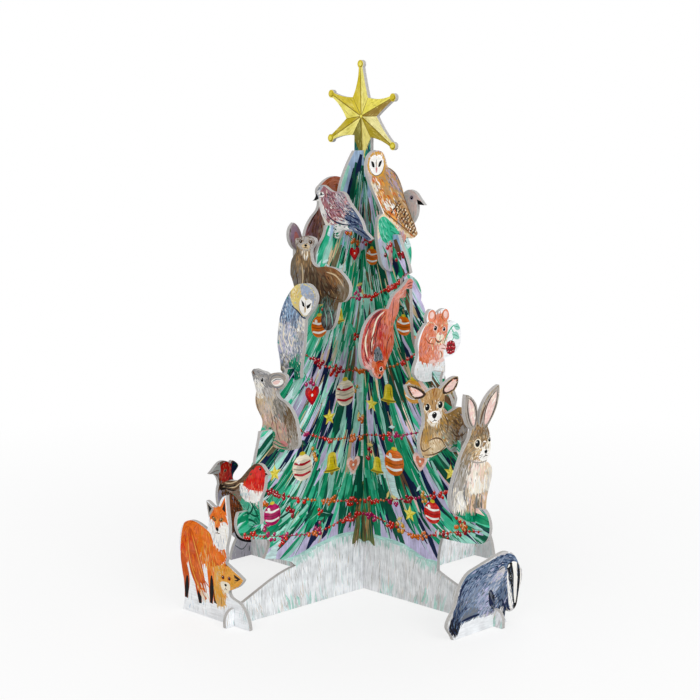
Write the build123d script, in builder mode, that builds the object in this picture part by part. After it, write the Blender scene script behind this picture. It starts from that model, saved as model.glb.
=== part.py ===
"""Pop-up advent calendar: two slotted tree panels, a star and 21 animal cards.

Every piece is die cut from the same grey board. The two tree panels cross at the
origin, one along X and one along Y, and stand on the floor at Z = 0. Each animal
card stands square to the arm that carries it: a slot in its lower edge drops
into a slot in a ledge of the tree, as far as half the shared height.
"""
import os

from build123d import *

# Board and fit
board = 2.5
slot_clearance = 0.1
cut_overrun = 6.0

# Tree
tree_height = 267.4
arm_reach = 112.0
crown_width = 17.6
crossing_height = 130.0
rear_crown_drop = 13.4
rear_crown_width = 20.0

# Seats of the cards
seat_depth = 3.5
foot_seat_depth = 5.0
foot_seat_height = 10.0

# Star
star_center_rise = 20.0
star_reach = 30.0
star_waist_width = 5.7
star_neck_width = 2.7
star_ball_radius = 2.4
star_tab_width = 13.5
star_tab_drop = 10.4
star_tab_corner = 2.0
star_seat_depth = 5.2

# Widths and heights of the animal cards
thrush_width = 49.0
thrush_height = 30.4
marten_width = 49.0
marten_height = 53.2
blue_owl_width = 32.5
blue_owl_height = 56.4
mouse_width = 39.7
mouse_height = 43.5
robin_width = 39.1
robin_height = 36.6
fox_width = 61.2
fox_height = 75.4
barn_owl_width = 43.0
barn_owl_height = 70.1
squirrel_width = 42.8
squirrel_height = 56.2
harvest_mouse_width = 40.2
harvest_mouse_height = 41.6
fawn_width = 51.9
fawn_height = 43.6
hare_width = 41.0
hare_height = 76.0
badger_width = 64.2
badger_height = 42.0
red_squirrel_width = 35.7
red_squirrel_height = 47.6
rabbit_width = 34.0
rabbit_height = 41.4
wren_width = 26.0
wren_height = 25.0
pheasant_width = 45.1
pheasant_height = 66.8
dove_width = 44.9
dove_height = 26.7
finch_width = 30.0
finch_height = 28.0
dormouse_width = 26.0
dormouse_height = 26.5
stoat_width = 23.5
stoat_height = 39.0
hedgehog_width = 41.5
hedgehog_height = 26.0

slot_width = board + 2 * slot_clearance

# A seat is (distance of its slot from the crossing, height of its ledge, length of
# the ledge past the slot), as shares of the arm's reach, the tree's height and the reach.
front_left_seat_shares = [
    (0.225, 0.840, 0.061), (0.384, 0.707, 0.041), (0.509, 0.537, 0.054),
    (0.661, 0.411, 0.091), (0.831, 0.245, 0.071),
]
front_right_seat_shares = [
    (0.212, 0.819, 0.050), (0.311, 0.703, 0.034), (0.498, 0.531, 0.072),
    (0.674, 0.389, 0.040), (0.804, 0.249, 0.066),
]
back_left_seat_shares = [(0.225, 0.830, 0.061), (0.384, 0.707, 0.041), (0.509, 0.537, 0.054)]
back_right_seat_shares = [
    (0.225, 0.840, 0.061), (0.509, 0.537, 0.054), (0.674, 0.389, 0.049), (0.812, 0.247, 0.075),
]
foot_seat_share = 0.932

# The edge of an arm, as shares of its reach and of the tree's height. A tier of
# branches is a list of runs, and a seat follows each tier but the last. A run of one
# point is a straight cut, and a longer run is a curve through its points.
front_left_edge_shares = [
    [[(0.157, 0.948), (0.193, 0.901), (0.193, 0.860)]],
    [[(0.309, 0.812), (0.349, 0.789), (0.362, 0.769), (0.359, 0.740), (0.350, 0.722)]],
    [[(0.438, 0.682), (0.440, 0.651)], [(0.464, 0.636), (0.482, 0.615), (0.484, 0.577), (0.473, 0.552)]],
    [[(0.594, 0.509), (0.630, 0.481), (0.634, 0.449), (0.627, 0.426)]],
    [[(0.773, 0.374), (0.791, 0.344), (0.787, 0.299), (0.795, 0.262)]],
    [
        [(0.918, 0.218), (0.898, 0.196), (0.820, 0.181)], [(0.725, 0.173)],
        [(0.696, 0.164), (0.704, 0.150), (0.733, 0.130)], [(0.634, 0.121), (0.545, 0.107)],
        [(0.514, 0.096)], [(0.684, 0.079), (0.857, 0.050), (0.929, 0.039)],
        [(0.979, 0.034), (1.000, 0.017)], [(1.000, 0.000)],
    ],
]
front_right_edge_shares = [
    [[(0.152, 0.924), (0.180, 0.883), (0.180, 0.838)]],
    [[(0.298, 0.787), (0.327, 0.762), (0.346, 0.739)], [(0.309, 0.731), (0.279, 0.724)]],
    [[(0.348, 0.666), (0.354, 0.617), (0.375, 0.580), (0.467, 0.550)]],
    [[(0.585, 0.495), (0.621, 0.484), (0.648, 0.460), (0.643, 0.411)]],
    [[(0.718, 0.354), (0.754, 0.318), (0.770, 0.284), (0.773, 0.266)]],
    [
        [(0.910, 0.211), (0.891, 0.185), (0.827, 0.172)], [(0.739, 0.166)], [(0.580, 0.165)],
        [(0.558, 0.127), (0.554, 0.088)], [(0.698, 0.066), (0.857, 0.047), (0.929, 0.039)],
        [(0.979, 0.034), (1.000, 0.017)], [(1.000, 0.000)],
    ],
]
back_left_edge_shares = [
    [[(0.152, 0.924), (0.193, 0.890), (0.193, 0.853)]],
    [[(0.330, 0.797), (0.361, 0.769), (0.357, 0.740), (0.350, 0.722)]],
    [[(0.438, 0.682), (0.440, 0.651)], [(0.464, 0.636), (0.482, 0.615), (0.484, 0.577), (0.473, 0.552)]],
    [
        [(0.598, 0.501), (0.639, 0.471), (0.643, 0.434), (0.625, 0.400)],
        [(0.741, 0.381), (0.786, 0.344), (0.771, 0.299), (0.755, 0.262)],
        [(0.871, 0.247), (0.918, 0.218), (0.898, 0.196), (0.820, 0.181)], [(0.725, 0.173)],
        [(0.696, 0.164), (0.704, 0.150), (0.733, 0.130)], [(0.634, 0.121), (0.545, 0.107)],
        [(0.514, 0.096)], [(0.684, 0.079), (0.857, 0.050), (0.929, 0.039)],
        [(0.979, 0.034), (1.000, 0.017)], [(1.000, 0.000)],
    ],
]
back_right_edge_shares = [
    [[(0.157, 0.948), (0.193, 0.901), (0.193, 0.860)]],
    [
        [(0.309, 0.812), (0.354, 0.782), (0.362, 0.755), (0.332, 0.714)],
        [(0.398, 0.701), (0.434, 0.681), (0.440, 0.651)],
        [(0.464, 0.636), (0.482, 0.615), (0.484, 0.577), (0.473, 0.552)],
    ],
    [[(0.589, 0.501), (0.629, 0.475), (0.646, 0.441), (0.639, 0.404)]],
    [[(0.746, 0.355), (0.779, 0.322), (0.773, 0.284), (0.777, 0.262)]],
    [
        [(0.914, 0.218), (0.896, 0.196), (0.821, 0.181)], [(0.739, 0.170)], [(0.580, 0.165)],
        [(0.558, 0.127), (0.554, 0.088)], [(0.698, 0.066), (0.857, 0.047), (0.929, 0.039)],
        [(0.979, 0.034), (1.000, 0.017)], [(1.000, 0.000)],
    ],
]

# The star's tips, and the valleys on both sides of each, as shares of its reach
star_tip_shares = [(0.82, -0.57), (0.82, 0.36), (-0.06, 1.01), (-0.88, 0.44), (-0.90, -0.44)]
star_valley_shares = [
    (0.22, -0.41), (0.39, 0.00), (0.15, 0.36), (-0.27, 0.37), (-0.45, -0.05), (-0.28, -0.37),
]
star_waist_share = 0.70

# The outline of each card, as shares of its width and height, in runs as above.
thrush_shares = [
    [(0.07, 0.82), (0.14, 1.00), (0.22, 0.98), (0.34, 0.89), (0.46, 0.90), (0.58, 0.81)],
    [(0.73, 0.54), (0.84, 0.33), (0.87, 0.20)], [(1.00, 0.04)], [(0.95, 0.00)],
    [(0.78, 0.11), (0.63, 0.17), (0.50, 0.15)], [(0.45, 0.00)], [(0.24, 0.00)],
    [(0.19, 0.35), (0.14, 0.50), (0.12, 0.69)], [(0.00, 0.69)],
]
marten_shares = [
    [(0.00, 0.64), (0.03, 0.74), (0.11, 0.86), (0.08, 0.92), (0.10, 0.97)],
    [(0.17, 0.98), (0.25, 1.00), (0.33, 1.00), (0.41, 0.98)],
    [(0.42, 0.93), (0.36, 0.87), (0.35, 0.80), (0.38, 0.72), (0.52, 0.68)],
    [(0.64, 0.69), (0.79, 0.67), (0.92, 0.60), (1.00, 0.50), (0.98, 0.40), (0.83, 0.32)],
    [(0.80, 0.22), (0.76, 0.10), (0.68, 0.01), (0.58, 0.01), (0.53, 0.08), (0.55, 0.20), (0.57, 0.29)],
    [(0.40, 0.26), (0.24, 0.27), (0.09, 0.31)], [(0.06, 0.44), (0.00, 0.56)],
]
blue_owl_shares = [
    [(0.05, 0.61), (0.16, 0.77), (0.31, 0.89), (0.47, 0.97), (0.68, 1.00)],
    [(0.88, 0.98), (1.00, 0.88), (0.93, 0.77), (0.82, 0.70), (0.71, 0.63)],
    [(0.69, 0.47), (0.66, 0.34), (0.61, 0.20), (0.59, 0.03)], [(0.40, 0.00), (0.21, 0.03), (0.07, 0.08)],
    [(0.06, 0.16), (0.01, 0.28), (0.00, 0.44)],
]
mouse_shares = [
    [(0.06, 1.00), (0.19, 0.99), (0.30, 0.98), (0.37, 0.95)],
    [(0.48, 0.99), (0.63, 1.00), (0.74, 0.97), (0.72, 0.89), (0.65, 0.81), (0.53, 0.76)],
    [(0.57, 0.68), (0.72, 0.62), (0.85, 0.53), (0.93, 0.42), (0.98, 0.26), (1.00, 0.13), (0.94, 0.04)],
    [(0.80, 0.00), (0.65, 0.00)], [(0.46, 0.00), (0.29, 0.06), (0.17, 0.16)],
    [(0.22, 0.24), (0.23, 0.32), (0.18, 0.40), (0.10, 0.50), (0.08, 0.60), (0.10, 0.70)], [(0.00, 0.95)],
]
robin_shares = [
    [(0.14, 0.63), (0.29, 0.65), (0.47, 0.78), (0.60, 0.91), (0.74, 1.00), (0.87, 0.99)],
    [(1.00, 0.87)], [(0.93, 0.82)], [(0.92, 0.72), (0.88, 0.58), (0.82, 0.45), (0.81, 0.30), (0.83, 0.18)],
    [(0.82, 0.06)], [(0.64, 0.00), (0.44, 0.00)],
    [(0.41, 0.11), (0.44, 0.22), (0.37, 0.32), (0.24, 0.41), (0.09, 0.45)], [(0.00, 0.55)],
]
fox_shares = [
    [(0.00, 0.45), (0.00, 0.57), (0.05, 0.68), (0.17, 0.73), (0.30, 0.72), (0.41, 0.69)],
    [(0.44, 0.77), (0.42, 0.84)], [(0.40, 0.92)], [(0.45, 0.91), (0.50, 0.89), (0.59, 0.91)],
    [(0.62, 0.96), (0.69, 1.00)], [(0.71, 0.84), (0.72, 0.70), (0.68, 0.58), (0.69, 0.52)],
    [(0.67, 0.47)], [(0.73, 0.45), (0.82, 0.42), (0.92, 0.38)], [(0.87, 0.33), (0.79, 0.29), (0.71, 0.26)],
    [(0.73, 0.22), (0.85, 0.19), (0.95, 0.12), (1.00, 0.00)], [(0.03, 0.00)],
]
barn_owl_shares = [
    [(0.00, 0.89), (0.06, 0.97), (0.19, 1.00), (0.30, 0.98), (0.36, 0.92), (0.40, 0.86)],
    [(0.53, 0.82), (0.63, 0.75), (0.70, 0.66)], [(0.80, 0.52), (0.91, 0.40), (1.00, 0.29)],
    [(0.93, 0.26), (0.78, 0.27)], [(0.70, 0.16), (0.66, 0.07), (0.56, 0.00)], [(0.41, 0.00), (0.29, 0.07)],
    [(0.23, 0.20), (0.20, 0.35), (0.23, 0.45)], [(0.31, 0.48)], [(0.20, 0.60), (0.11, 0.69), (0.03, 0.79)],
]
squirrel_shares = [
    [(0.98, 0.90), (0.99, 0.78)], [(0.86, 0.77)], [(0.73, 0.80), (0.72, 0.70), (0.67, 0.62), (0.61, 0.54)],
    [(0.62, 0.46), (0.62, 0.34), (0.56, 0.24), (0.49, 0.16), (0.45, 0.09), (0.36, 0.00)],
    [(0.24, 0.04), (0.19, 0.11)], [(0.07, 0.14), (0.00, 0.25), (0.00, 0.40), (0.05, 0.53)],
    [(0.18, 0.65), (0.35, 0.71), (0.51, 0.71)], [(0.56, 0.77), (0.62, 0.84), (0.74, 0.90), (0.86, 0.96)],
    [(0.95, 1.00), (1.00, 0.97)],
]
harvest_mouse_shares = [
    [(0.02, 0.24), (0.08, 0.37), (0.07, 0.53), (0.14, 0.70), (0.27, 0.82)],
    [(0.27, 0.93), (0.34, 1.00), (0.43, 0.98), (0.47, 0.91)], [(0.56, 0.98), (0.68, 0.98), (0.74, 0.89)],
    [(0.72, 0.79)], [(0.86, 0.79), (0.97, 0.70), (1.00, 0.52), (0.92, 0.38), (0.77, 0.31), (0.64, 0.30)],
    [(0.66, 0.14), (0.64, 0.00)], [(0.40, 0.00), (0.18, 0.01), (0.05, 0.07)], [(0.00, 0.14)],
]
fawn_shares = [
    [(0.15, 0.98), (0.23, 0.93), (0.29, 0.86)], [(0.37, 0.89), (0.45, 0.90), (0.53, 0.87)],
    [(0.60, 0.92), (0.69, 0.98), (0.82, 1.00)], [(0.82, 0.91), (0.77, 0.83), (0.69, 0.79), (0.60, 0.78)],
    [(0.60, 0.70), (0.59, 0.61), (0.61, 0.54)], [(0.72, 0.55), (0.88, 0.58), (0.96, 0.46), (1.00, 0.29)],
    [(0.97, 0.15)], [(0.93, 0.00)], [(0.76, 0.00)], [(0.66, 0.10)],
    [(0.51, 0.03), (0.38, 0.00), (0.27, 0.01)],
    [(0.24, 0.08), (0.21, 0.20), (0.23, 0.32), (0.28, 0.44), (0.27, 0.62), (0.22, 0.79)],
    [(0.13, 0.80), (0.04, 0.88), (0.00, 1.00)],
]
hare_shares = [
    [(0.06, 0.33), (0.16, 0.45), (0.29, 0.57), (0.39, 0.64), (0.43, 0.70)],
    [(0.32, 0.77), (0.28, 0.87), (0.30, 0.97)], [(0.45, 0.93), (0.54, 0.85), (0.54, 0.77), (0.57, 0.72)],
    [(0.59, 0.78), (0.65, 0.86), (0.78, 0.94), (1.00, 1.00)], [(0.98, 0.87), (0.89, 0.78), (0.76, 0.70)],
    [(0.82, 0.62), (0.83, 0.53), (0.75, 0.43)], [(0.87, 0.36), (0.84, 0.26), (0.76, 0.12)], [(0.74, 0.00)],
    [(0.39, 0.00), (0.22, 0.05)], [(0.05, 0.12), (0.00, 0.23)],
]
badger_shares = [
    [(0.04, 0.10), (0.00, 0.20), (0.04, 0.33), (0.11, 0.47), (0.14, 0.62), (0.21, 0.78), (0.34, 0.88)],
    [(0.49, 0.93), (0.65, 0.98), (0.77, 1.00), (0.87, 0.94), (0.93, 0.83), (0.97, 0.73)],
    [(1.00, 0.67)], [(0.99, 0.51), (0.96, 0.38), (0.93, 0.21), (0.88, 0.14), (0.82, 0.14)],
    [(0.79, 0.21)], [(0.77, 0.10), (0.80, 0.00)], [(0.08, 0.00)],
]
red_squirrel_shares = [
    [(0.07, 0.40), (0.19, 0.51), (0.32, 0.61), (0.34, 0.70), (0.30, 0.80), (0.38, 0.90)],
    [(0.56, 0.98), (0.72, 1.00), (0.89, 0.96), (0.98, 0.84), (1.00, 0.66), (0.94, 0.50), (0.92, 0.36)],
    [(0.90, 0.20)], [(0.74, 0.20), (0.60, 0.14), (0.46, 0.02)], [(0.32, 0.00), (0.12, 0.06), (0.00, 0.25)],
]
rabbit_shares = [
    [(0.20, 0.14), (0.19, 0.32), (0.16, 0.48), (0.16, 0.60)], [(0.04, 0.70), (0.00, 0.85), (0.12, 1.00)],
    [(0.24, 0.92), (0.31, 0.80), (0.34, 0.68)], [(0.40, 0.79), (0.49, 0.81), (0.55, 0.70), (0.52, 0.58)],
    [(0.66, 0.52), (0.84, 0.40), (0.97, 0.24), (1.00, 0.12)], [(0.92, 0.00)], [(0.25, 0.00)],
]
wren_shares = [
    [(0.10, 0.80), (0.22, 0.88), (0.36, 0.84), (0.50, 0.72)], [(0.66, 0.78), (0.84, 1.00)],
    [(1.00, 0.92)], [(0.88, 0.60), (0.82, 0.42), (0.68, 0.25)], [(0.66, 0.00)], [(0.32, 0.00)],
    [(0.28, 0.25), (0.16, 0.38), (0.12, 0.58)], [(0.00, 0.66)],
]
pheasant_shares = [
    [(0.11, 0.96), (0.20, 1.00), (0.30, 1.00), (0.39, 0.96)],
    [(0.43, 0.99), (0.49, 0.97), (0.54, 0.93), (0.48, 0.88), (0.46, 0.79)],
    [(0.60, 0.68), (0.80, 0.60), (0.95, 0.45), (1.00, 0.28)], [(0.98, 0.00)], [(0.39, 0.00)],
    [(0.44, 0.12), (0.51, 0.20)], [(0.37, 0.30), (0.27, 0.43), (0.17, 0.58), (0.15, 0.67), (0.18, 0.78)],
    [(0.13, 0.87), (0.00, 0.90)],
]
dove_shares = [
    [(0.12, 0.42), (0.30, 0.60), (0.48, 0.78), (0.60, 0.91), (0.72, 1.00), (0.83, 0.95), (0.90, 0.83)],
    [(1.00, 0.67)], [(0.86, 0.68)], [(0.86, 0.50), (0.80, 0.30), (0.68, 0.17)],
    [(0.54, 0.12)], [(0.51, 0.00)],
    [(0.28, 0.00)], [(0.26, 0.15)], [(0.16, 0.17), (0.06, 0.12)], [(0.00, 0.08)], [(0.00, 0.28)],
]
finch_shares = [
    [(0.18, 0.44), (0.36, 0.68), (0.52, 0.88), (0.67, 1.00), (0.81, 0.98), (0.90, 0.86)], [(1.00, 0.74)],
    [(0.90, 0.65)], [(0.90, 0.48), (0.84, 0.32), (0.70, 0.20)],
    [(0.67, 0.00)], [(0.33, 0.00)], [(0.31, 0.18)],
    [(0.18, 0.16), (0.07, 0.10)], [(0.00, 0.08)], [(0.00, 0.22)],
]
dormouse_shares = [
    [(0.02, 0.30), (0.08, 0.52), (0.22, 0.76), (0.42, 0.90)], [(0.46, 1.00), (0.56, 0.98), (0.60, 0.87)],
    [(0.76, 0.80), (0.92, 0.62), (1.00, 0.46)], [(0.96, 0.30), (0.90, 0.14)], [(0.86, 0.00)], [(0.48, 0.00)],
    [(0.30, 0.04), (0.14, 0.02), (0.00, 0.12)],
]
stoat_shares = [
    [(0.10, 0.20), (0.07, 0.42), (0.17, 0.62), (0.21, 0.76)], [(0.12, 0.82), (0.00, 0.88)],
    [(0.12, 0.95), (0.24, 0.97)], [(0.31, 1.00), (0.40, 1.00), (0.46, 0.92)],
    [(0.52, 0.78), (0.60, 0.58), (0.74, 0.40), (0.81, 0.22)], [(1.00, 0.14)], [(0.98, 0.00)], [(0.14, 0.00)],
]
hedgehog_shares = [
    [(0.06, 0.30), (0.14, 0.46), (0.22, 0.66), (0.34, 0.88), (0.52, 1.00), (0.72, 0.94)],
    [(0.86, 0.74), (0.93, 0.50), (0.97, 0.28), (1.00, 0.00)], [(0.04, 0.00)], [(0.00, 0.16)],
]

# How much of a card's width lies left of its arm, and of its height below its ledge
card_place_shares = {
    "thrush_card": (0.34, 0.25),
    "marten_card": (0.34, 0.44),
    "blue_owl_card": (0.39, 0.12),
    "mouse_card": (0.42, 0.23),
    "robin_card": (0.53, 0.22),
    "fox_card": (0.77, 0.00),
    "barn_owl_card": (0.525, 0.30),
    "squirrel_card": (0.89, 0.90),
    "harvest_mouse_card": (0.41, 0.14),
    "fawn_card": (0.84, 0.15),
    "hare_card": (0.56, 0.09),
    "badger_card": (0.63, 0.00),
    "red_squirrel_card": (0.72, 0.38),
    "rabbit_card": (0.65, 0.17),
    "wren_card": (0.50, 0.26),
    "pheasant_card": (0.80, 0.00),
    "dove_card": (0.40, 0.28),
    "finch_card": (0.50, 0.24),
    "dormouse_card": (0.69, 0.25),
    "stoat_card": (0.40, 0.18),
    "hedgehog_card": (0.58, 0.00),
}


def draw_runs(start, runs, left, bottom, width, height):
    """Draw runs of shares inside a box, and return the last point."""
    here = start
    for run in runs:
        points = [here] + [(left + width * u, bottom + height * v) for u, v in run]
        if len(points) > 2:
            Spline(*points)
        else:
            Line(*points)
        here = points[-1]
    return here


def draw_arm(side, crown, seats, tiers):
    """Draw one arm's edge from the crown out and down to the floor."""
    here = (side * crown[0], crown[1])
    for row, runs in enumerate(tiers):
        here = draw_runs(here, runs, 0, 0, side * arm_reach, tree_height)
        if row < len(seats):
            distance_share, height_share, past_share = seats[row]
            ledge = tree_height * height_share
            outer = (side * arm_reach * (distance_share + past_share), ledge)
            Line(here, (here[0], ledge))
            Line((here[0], ledge), outer)
            here = outer
    return here


def seat_slots(side, seats):
    """Cut the slots of one arm's seats and of its foot."""
    places = [(arm_reach * d, tree_height * h, seat_depth) for d, h, _ in seats]
    places.append((arm_reach * foot_seat_share, foot_seat_height, foot_seat_depth))
    for distance, ledge, depth in places:
        with Locations((side * distance, ledge - depth)):
            Rectangle(
                slot_width, depth + cut_overrun, align=(Align.CENTER, Align.MIN), mode=Mode.SUBTRACT
            )


def seat(seats, row):
    """Return a seat's distance from the crossing, its ledge and its slot's lower end."""
    distance_share, height_share, _ = seats[row]
    ledge = tree_height * height_share
    return arm_reach * distance_share, ledge, ledge - seat_depth


def foot():
    """Return the seat on a foot, where the card stands on the floor as well."""
    return arm_reach * foot_seat_share, 0, foot_seat_height - foot_seat_depth


def cut_card(label, face, place, width, height, runs):
    """Cut one animal card in the plane face, on the seat place, and write it."""
    _, ledge, slot_end = place
    left_share, drop_share = card_place_shares[label]
    left = -width * left_share
    bottom = ledge - height * drop_share
    start = (left + width * runs[-1][-1][0], bottom + height * runs[-1][-1][1])
    with BuildPart() as card:
        with BuildSketch(face):
            with BuildLine():
                draw_runs(start, runs, left, bottom, width, height)
            make_face()
            with Locations((0, slot_end)):
                Rectangle(
                    slot_width,
                    slot_end - bottom + cut_overrun,
                    align=(Align.CENTER, Align.MAX),
                    mode=Mode.SUBTRACT,
                )
        extrude(amount=board / 2, both=True)
    card.part.label = label
    export_step(card.part, "parts/" + label + ".step")


os.makedirs("parts", exist_ok=True)

# The panel along Y reaches up to the star and is slotted from below
crown = (crown_width / 2, tree_height)
with BuildPart() as bottom_slot_panel:
    with BuildSketch(Plane.YZ):
        with BuildLine():
            left_toe = draw_arm(-1, crown, front_left_seat_shares, front_left_edge_shares)
            right_toe = draw_arm(1, crown, back_right_seat_shares, back_right_edge_shares)
            Line(left_toe, right_toe)
            Line((-crown[0], crown[1]), crown)
        make_face()
        seat_slots(-1, front_left_seat_shares)
        seat_slots(1, back_right_seat_shares)
        with Locations((0, crossing_height)):
            Rectangle(
                slot_width,
                crossing_height + cut_overrun,
                align=(Align.CENTER, Align.MAX),
                mode=Mode.SUBTRACT,
            )
        with Locations((0, tree_height - star_seat_depth)):
            Rectangle(
                slot_width,
                star_seat_depth + cut_overrun,
                align=(Align.CENTER, Align.MIN),
                mode=Mode.SUBTRACT,
            )
    extrude(amount=board / 2, both=True)
bottom_slot_panel.part.label = "bottom_slot_panel"
export_step(bottom_slot_panel.part, "parts/bottom_slot_panel.step")

# The panel along X ends below the star's tab and is slotted from above
rear_crown = (rear_crown_width / 2, tree_height - rear_crown_drop)
with BuildPart() as top_slot_panel:
    with BuildSketch(Plane.XZ):
        with BuildLine():
            left_toe = draw_arm(-1, rear_crown, back_left_seat_shares, back_left_edge_shares)
            right_toe = draw_arm(1, rear_crown, front_right_seat_shares, front_right_edge_shares)
            Line(left_toe, right_toe)
            Line((-rear_crown[0], rear_crown[1]), rear_crown)
        make_face()
        seat_slots(-1, back_left_seat_shares)
        seat_slots(1, front_right_seat_shares)
        with Locations((0, crossing_height)):
            Rectangle(
                slot_width,
                tree_height - crossing_height,
                align=(Align.CENTER, Align.MIN),
                mode=Mode.SUBTRACT,
            )
    extrude(amount=board / 2, both=True)
top_slot_panel.part.label = "top_slot_panel"
export_step(top_slot_panel.part, "parts/top_slot_panel.step")

# The star's lowest ray is a tab that sits in the crown of the panel along Y
star_center = Vector(0, tree_height + star_center_rise)
star_tips = [star_center + Vector(u, v) * star_reach for u, v in star_tip_shares]
star_valleys = [star_center + Vector(u, v) * star_reach for u, v in star_valley_shares]
with BuildPart() as star_topper:
    with BuildSketch(Plane.XZ):
        with Locations(star_center):
            Rectangle(star_tab_width, star_center_rise + star_tab_drop, align=(Align.CENTER, Align.MAX))
        fillet(vertices().group_by(Axis.Y)[0], star_tab_corner)
        with BuildLine():
            for row, tip in enumerate(star_tips):
                ray = tip - star_center
                half = Vector(-ray.Y, ray.X).normalized() / 2
                waist = star_center + ray * star_waist_share
                right_neck = tip - half * star_neck_width
                left_neck = tip + half * star_neck_width
                Spline(star_valleys[row], waist - half * star_waist_width, right_neck)
                Line(right_neck, left_neck)
                Spline(left_neck, waist + half * star_waist_width, star_valleys[row + 1])
            Line(star_valleys[-1], star_valleys[0])
        make_face()
        with Locations(*star_tips):
            Circle(star_ball_radius)
        with Locations((0, tree_height - star_seat_depth)):
            Rectangle(
                slot_width,
                star_tab_drop + cut_overrun,
                align=(Align.CENTER, Align.MAX),
                mode=Mode.SUBTRACT,
            )
    extrude(amount=board / 2, both=True)
star_topper.part.label = "star_topper"
export_step(star_topper.part, "parts/star_topper.step")

# Each arm's cards, from the top one down, with the seat that each one has
foot_row = None
card_arms = [
    (Plane.XZ, 1, front_left_seat_shares, [
        ("thrush_card", 0, thrush_width, thrush_height, thrush_shares),
        ("marten_card", 1, marten_width, marten_height, marten_shares),
        ("blue_owl_card", 2, blue_owl_width, blue_owl_height, blue_owl_shares),
        ("mouse_card", 3, mouse_width, mouse_height, mouse_shares),
        ("robin_card", 4, robin_width, robin_height, robin_shares),
        ("fox_card", foot_row, fox_width, fox_height, fox_shares),
    ]),
    (Plane.YZ, 1, front_right_seat_shares, [
        ("barn_owl_card", 0, barn_owl_width, barn_owl_height, barn_owl_shares),
        ("squirrel_card", 1, squirrel_width, squirrel_height, squirrel_shares),
        ("harvest_mouse_card", 2, harvest_mouse_width, harvest_mouse_height, harvest_mouse_shares),
        ("fawn_card", 3, fawn_width, fawn_height, fawn_shares),
        ("hare_card", 4, hare_width, hare_height, hare_shares),
        ("badger_card", foot_row, badger_width, badger_height, badger_shares),
    ]),
    (Plane.YZ, -1, back_left_seat_shares, [
        ("red_squirrel_card", 0, red_squirrel_width, red_squirrel_height, red_squirrel_shares),
        ("rabbit_card", 1, rabbit_width, rabbit_height, rabbit_shares),
        ("wren_card", 2, wren_width, wren_height, wren_shares),
        ("pheasant_card", foot_row, pheasant_width, pheasant_height, pheasant_shares),
    ]),
    (Plane.XZ, -1, back_right_seat_shares, [
        ("dove_card", 0, dove_width, dove_height, dove_shares),
        ("finch_card", 1, finch_width, finch_height, finch_shares),
        ("dormouse_card", 2, dormouse_width, dormouse_height, dormouse_shares),
        ("stoat_card", 3, stoat_width, stoat_height, stoat_shares),
        ("hedgehog_card", foot_row, hedgehog_width, hedgehog_height, hedgehog_shares),
    ]),
]
for plane, side, seats, cards in card_arms:
    for label, row, width, height, runs in cards:
        place = foot() if row is foot_row else seat(seats, row)
        cut_card(label, plane.offset(side * place[0]), place, width, height, runs)
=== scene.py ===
"""Looks of the pop-up advent calendar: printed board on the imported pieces.

Each printed piece stands for one board of the frame. Its outline is read from that
board, and fields of colour are laid inside it, later ones over earlier ones. Places
on a card are percents of its width and height, and sizes are in millimetres.
"""
import math
import random

import bmesh
import bpy
import numpy as np
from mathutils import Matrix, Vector
from mathutils.geometry import delaunay_2d_cdt


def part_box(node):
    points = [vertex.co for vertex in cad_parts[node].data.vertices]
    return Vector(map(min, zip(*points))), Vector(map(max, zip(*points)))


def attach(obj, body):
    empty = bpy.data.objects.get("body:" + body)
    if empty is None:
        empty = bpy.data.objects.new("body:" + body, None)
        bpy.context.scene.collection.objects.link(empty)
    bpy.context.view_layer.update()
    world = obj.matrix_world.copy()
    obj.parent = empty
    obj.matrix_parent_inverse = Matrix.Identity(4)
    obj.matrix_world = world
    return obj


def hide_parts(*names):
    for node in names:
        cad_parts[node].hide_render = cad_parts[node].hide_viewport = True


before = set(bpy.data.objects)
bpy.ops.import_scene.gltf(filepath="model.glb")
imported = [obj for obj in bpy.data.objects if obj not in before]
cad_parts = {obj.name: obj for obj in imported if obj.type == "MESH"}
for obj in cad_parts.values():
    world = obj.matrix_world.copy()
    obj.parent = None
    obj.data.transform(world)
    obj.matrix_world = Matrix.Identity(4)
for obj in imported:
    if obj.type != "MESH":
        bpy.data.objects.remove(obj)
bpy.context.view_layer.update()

MM = 0.001

# Camera
EYE = Vector((673.65, -679.72, 292.84)) * MM
TARGET = Vector((-5.79, -5.84, 147.89)) * MM
LENS = 82.57
SENSOR_WIDTH = 36
CLIP_END = 20

# Floor, in metres from the foot of the tree, and the share of its glow near the tree
FLOOR_HALF = 4.0
FLOOR_DROP = -0.0002
FLOOR_COLOR = (0.95, 0.95, 0.95)
FADE_START = 0.15
FADE_END = 0.60
FLOOR_GLOW = 0.72
# Lamps: (name, place, size, power)
LAMPS = (
    ("front lamp", (0.35, -1.5, 1.3), 1.1, 9.0),
    ("right lamp", (1.6, -0.3, 1.1), 1.0, 12.5),
    ("back lamp", (-0.9, 1.2, 1.5), 1.2, 8.0),
)
WORLD_LIGHT = 0.55

# Streaks of the brush: waves in a millimetre along a mark and across it, and from mark to mark
STREAK_STRETCH = (0.10, 1.2, 3.7)
# Blooms of the paint, tooth and sheen of the paper, fibres of the board: waves in a metre
BLOOM_SCALE = 150.0
TOOTH_SCALE = 1600.0
SHEEN_SCALE = 90.0
FIBRE_SCALE = 1100.0
# Depths in metres, and how strongly each shows
TOOTH_DEPTH = 0.00006
TOOTH_STRENGTH = 0.25
FIBRE_DEPTH = 0.0001
FIBRE_STRENGTH = 0.4
# Roughness of the paper and lightness of the board: spread, and least value
SHEEN_RANGE = (0.16, 0.44)
FIBRE_RANGE = (0.9, 0.55)
PAPER_SPECULAR = 0.12
EDGE_ROUGHNESS = 0.85
FLOOR_ROUGHNESS = 0.9

# Making of the printed fields, in millimetres
NEAR = 0.002
PAPER_SKIN = 0.3
CHORD_ERROR = 0.012
MERGE = 0.0002
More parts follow.
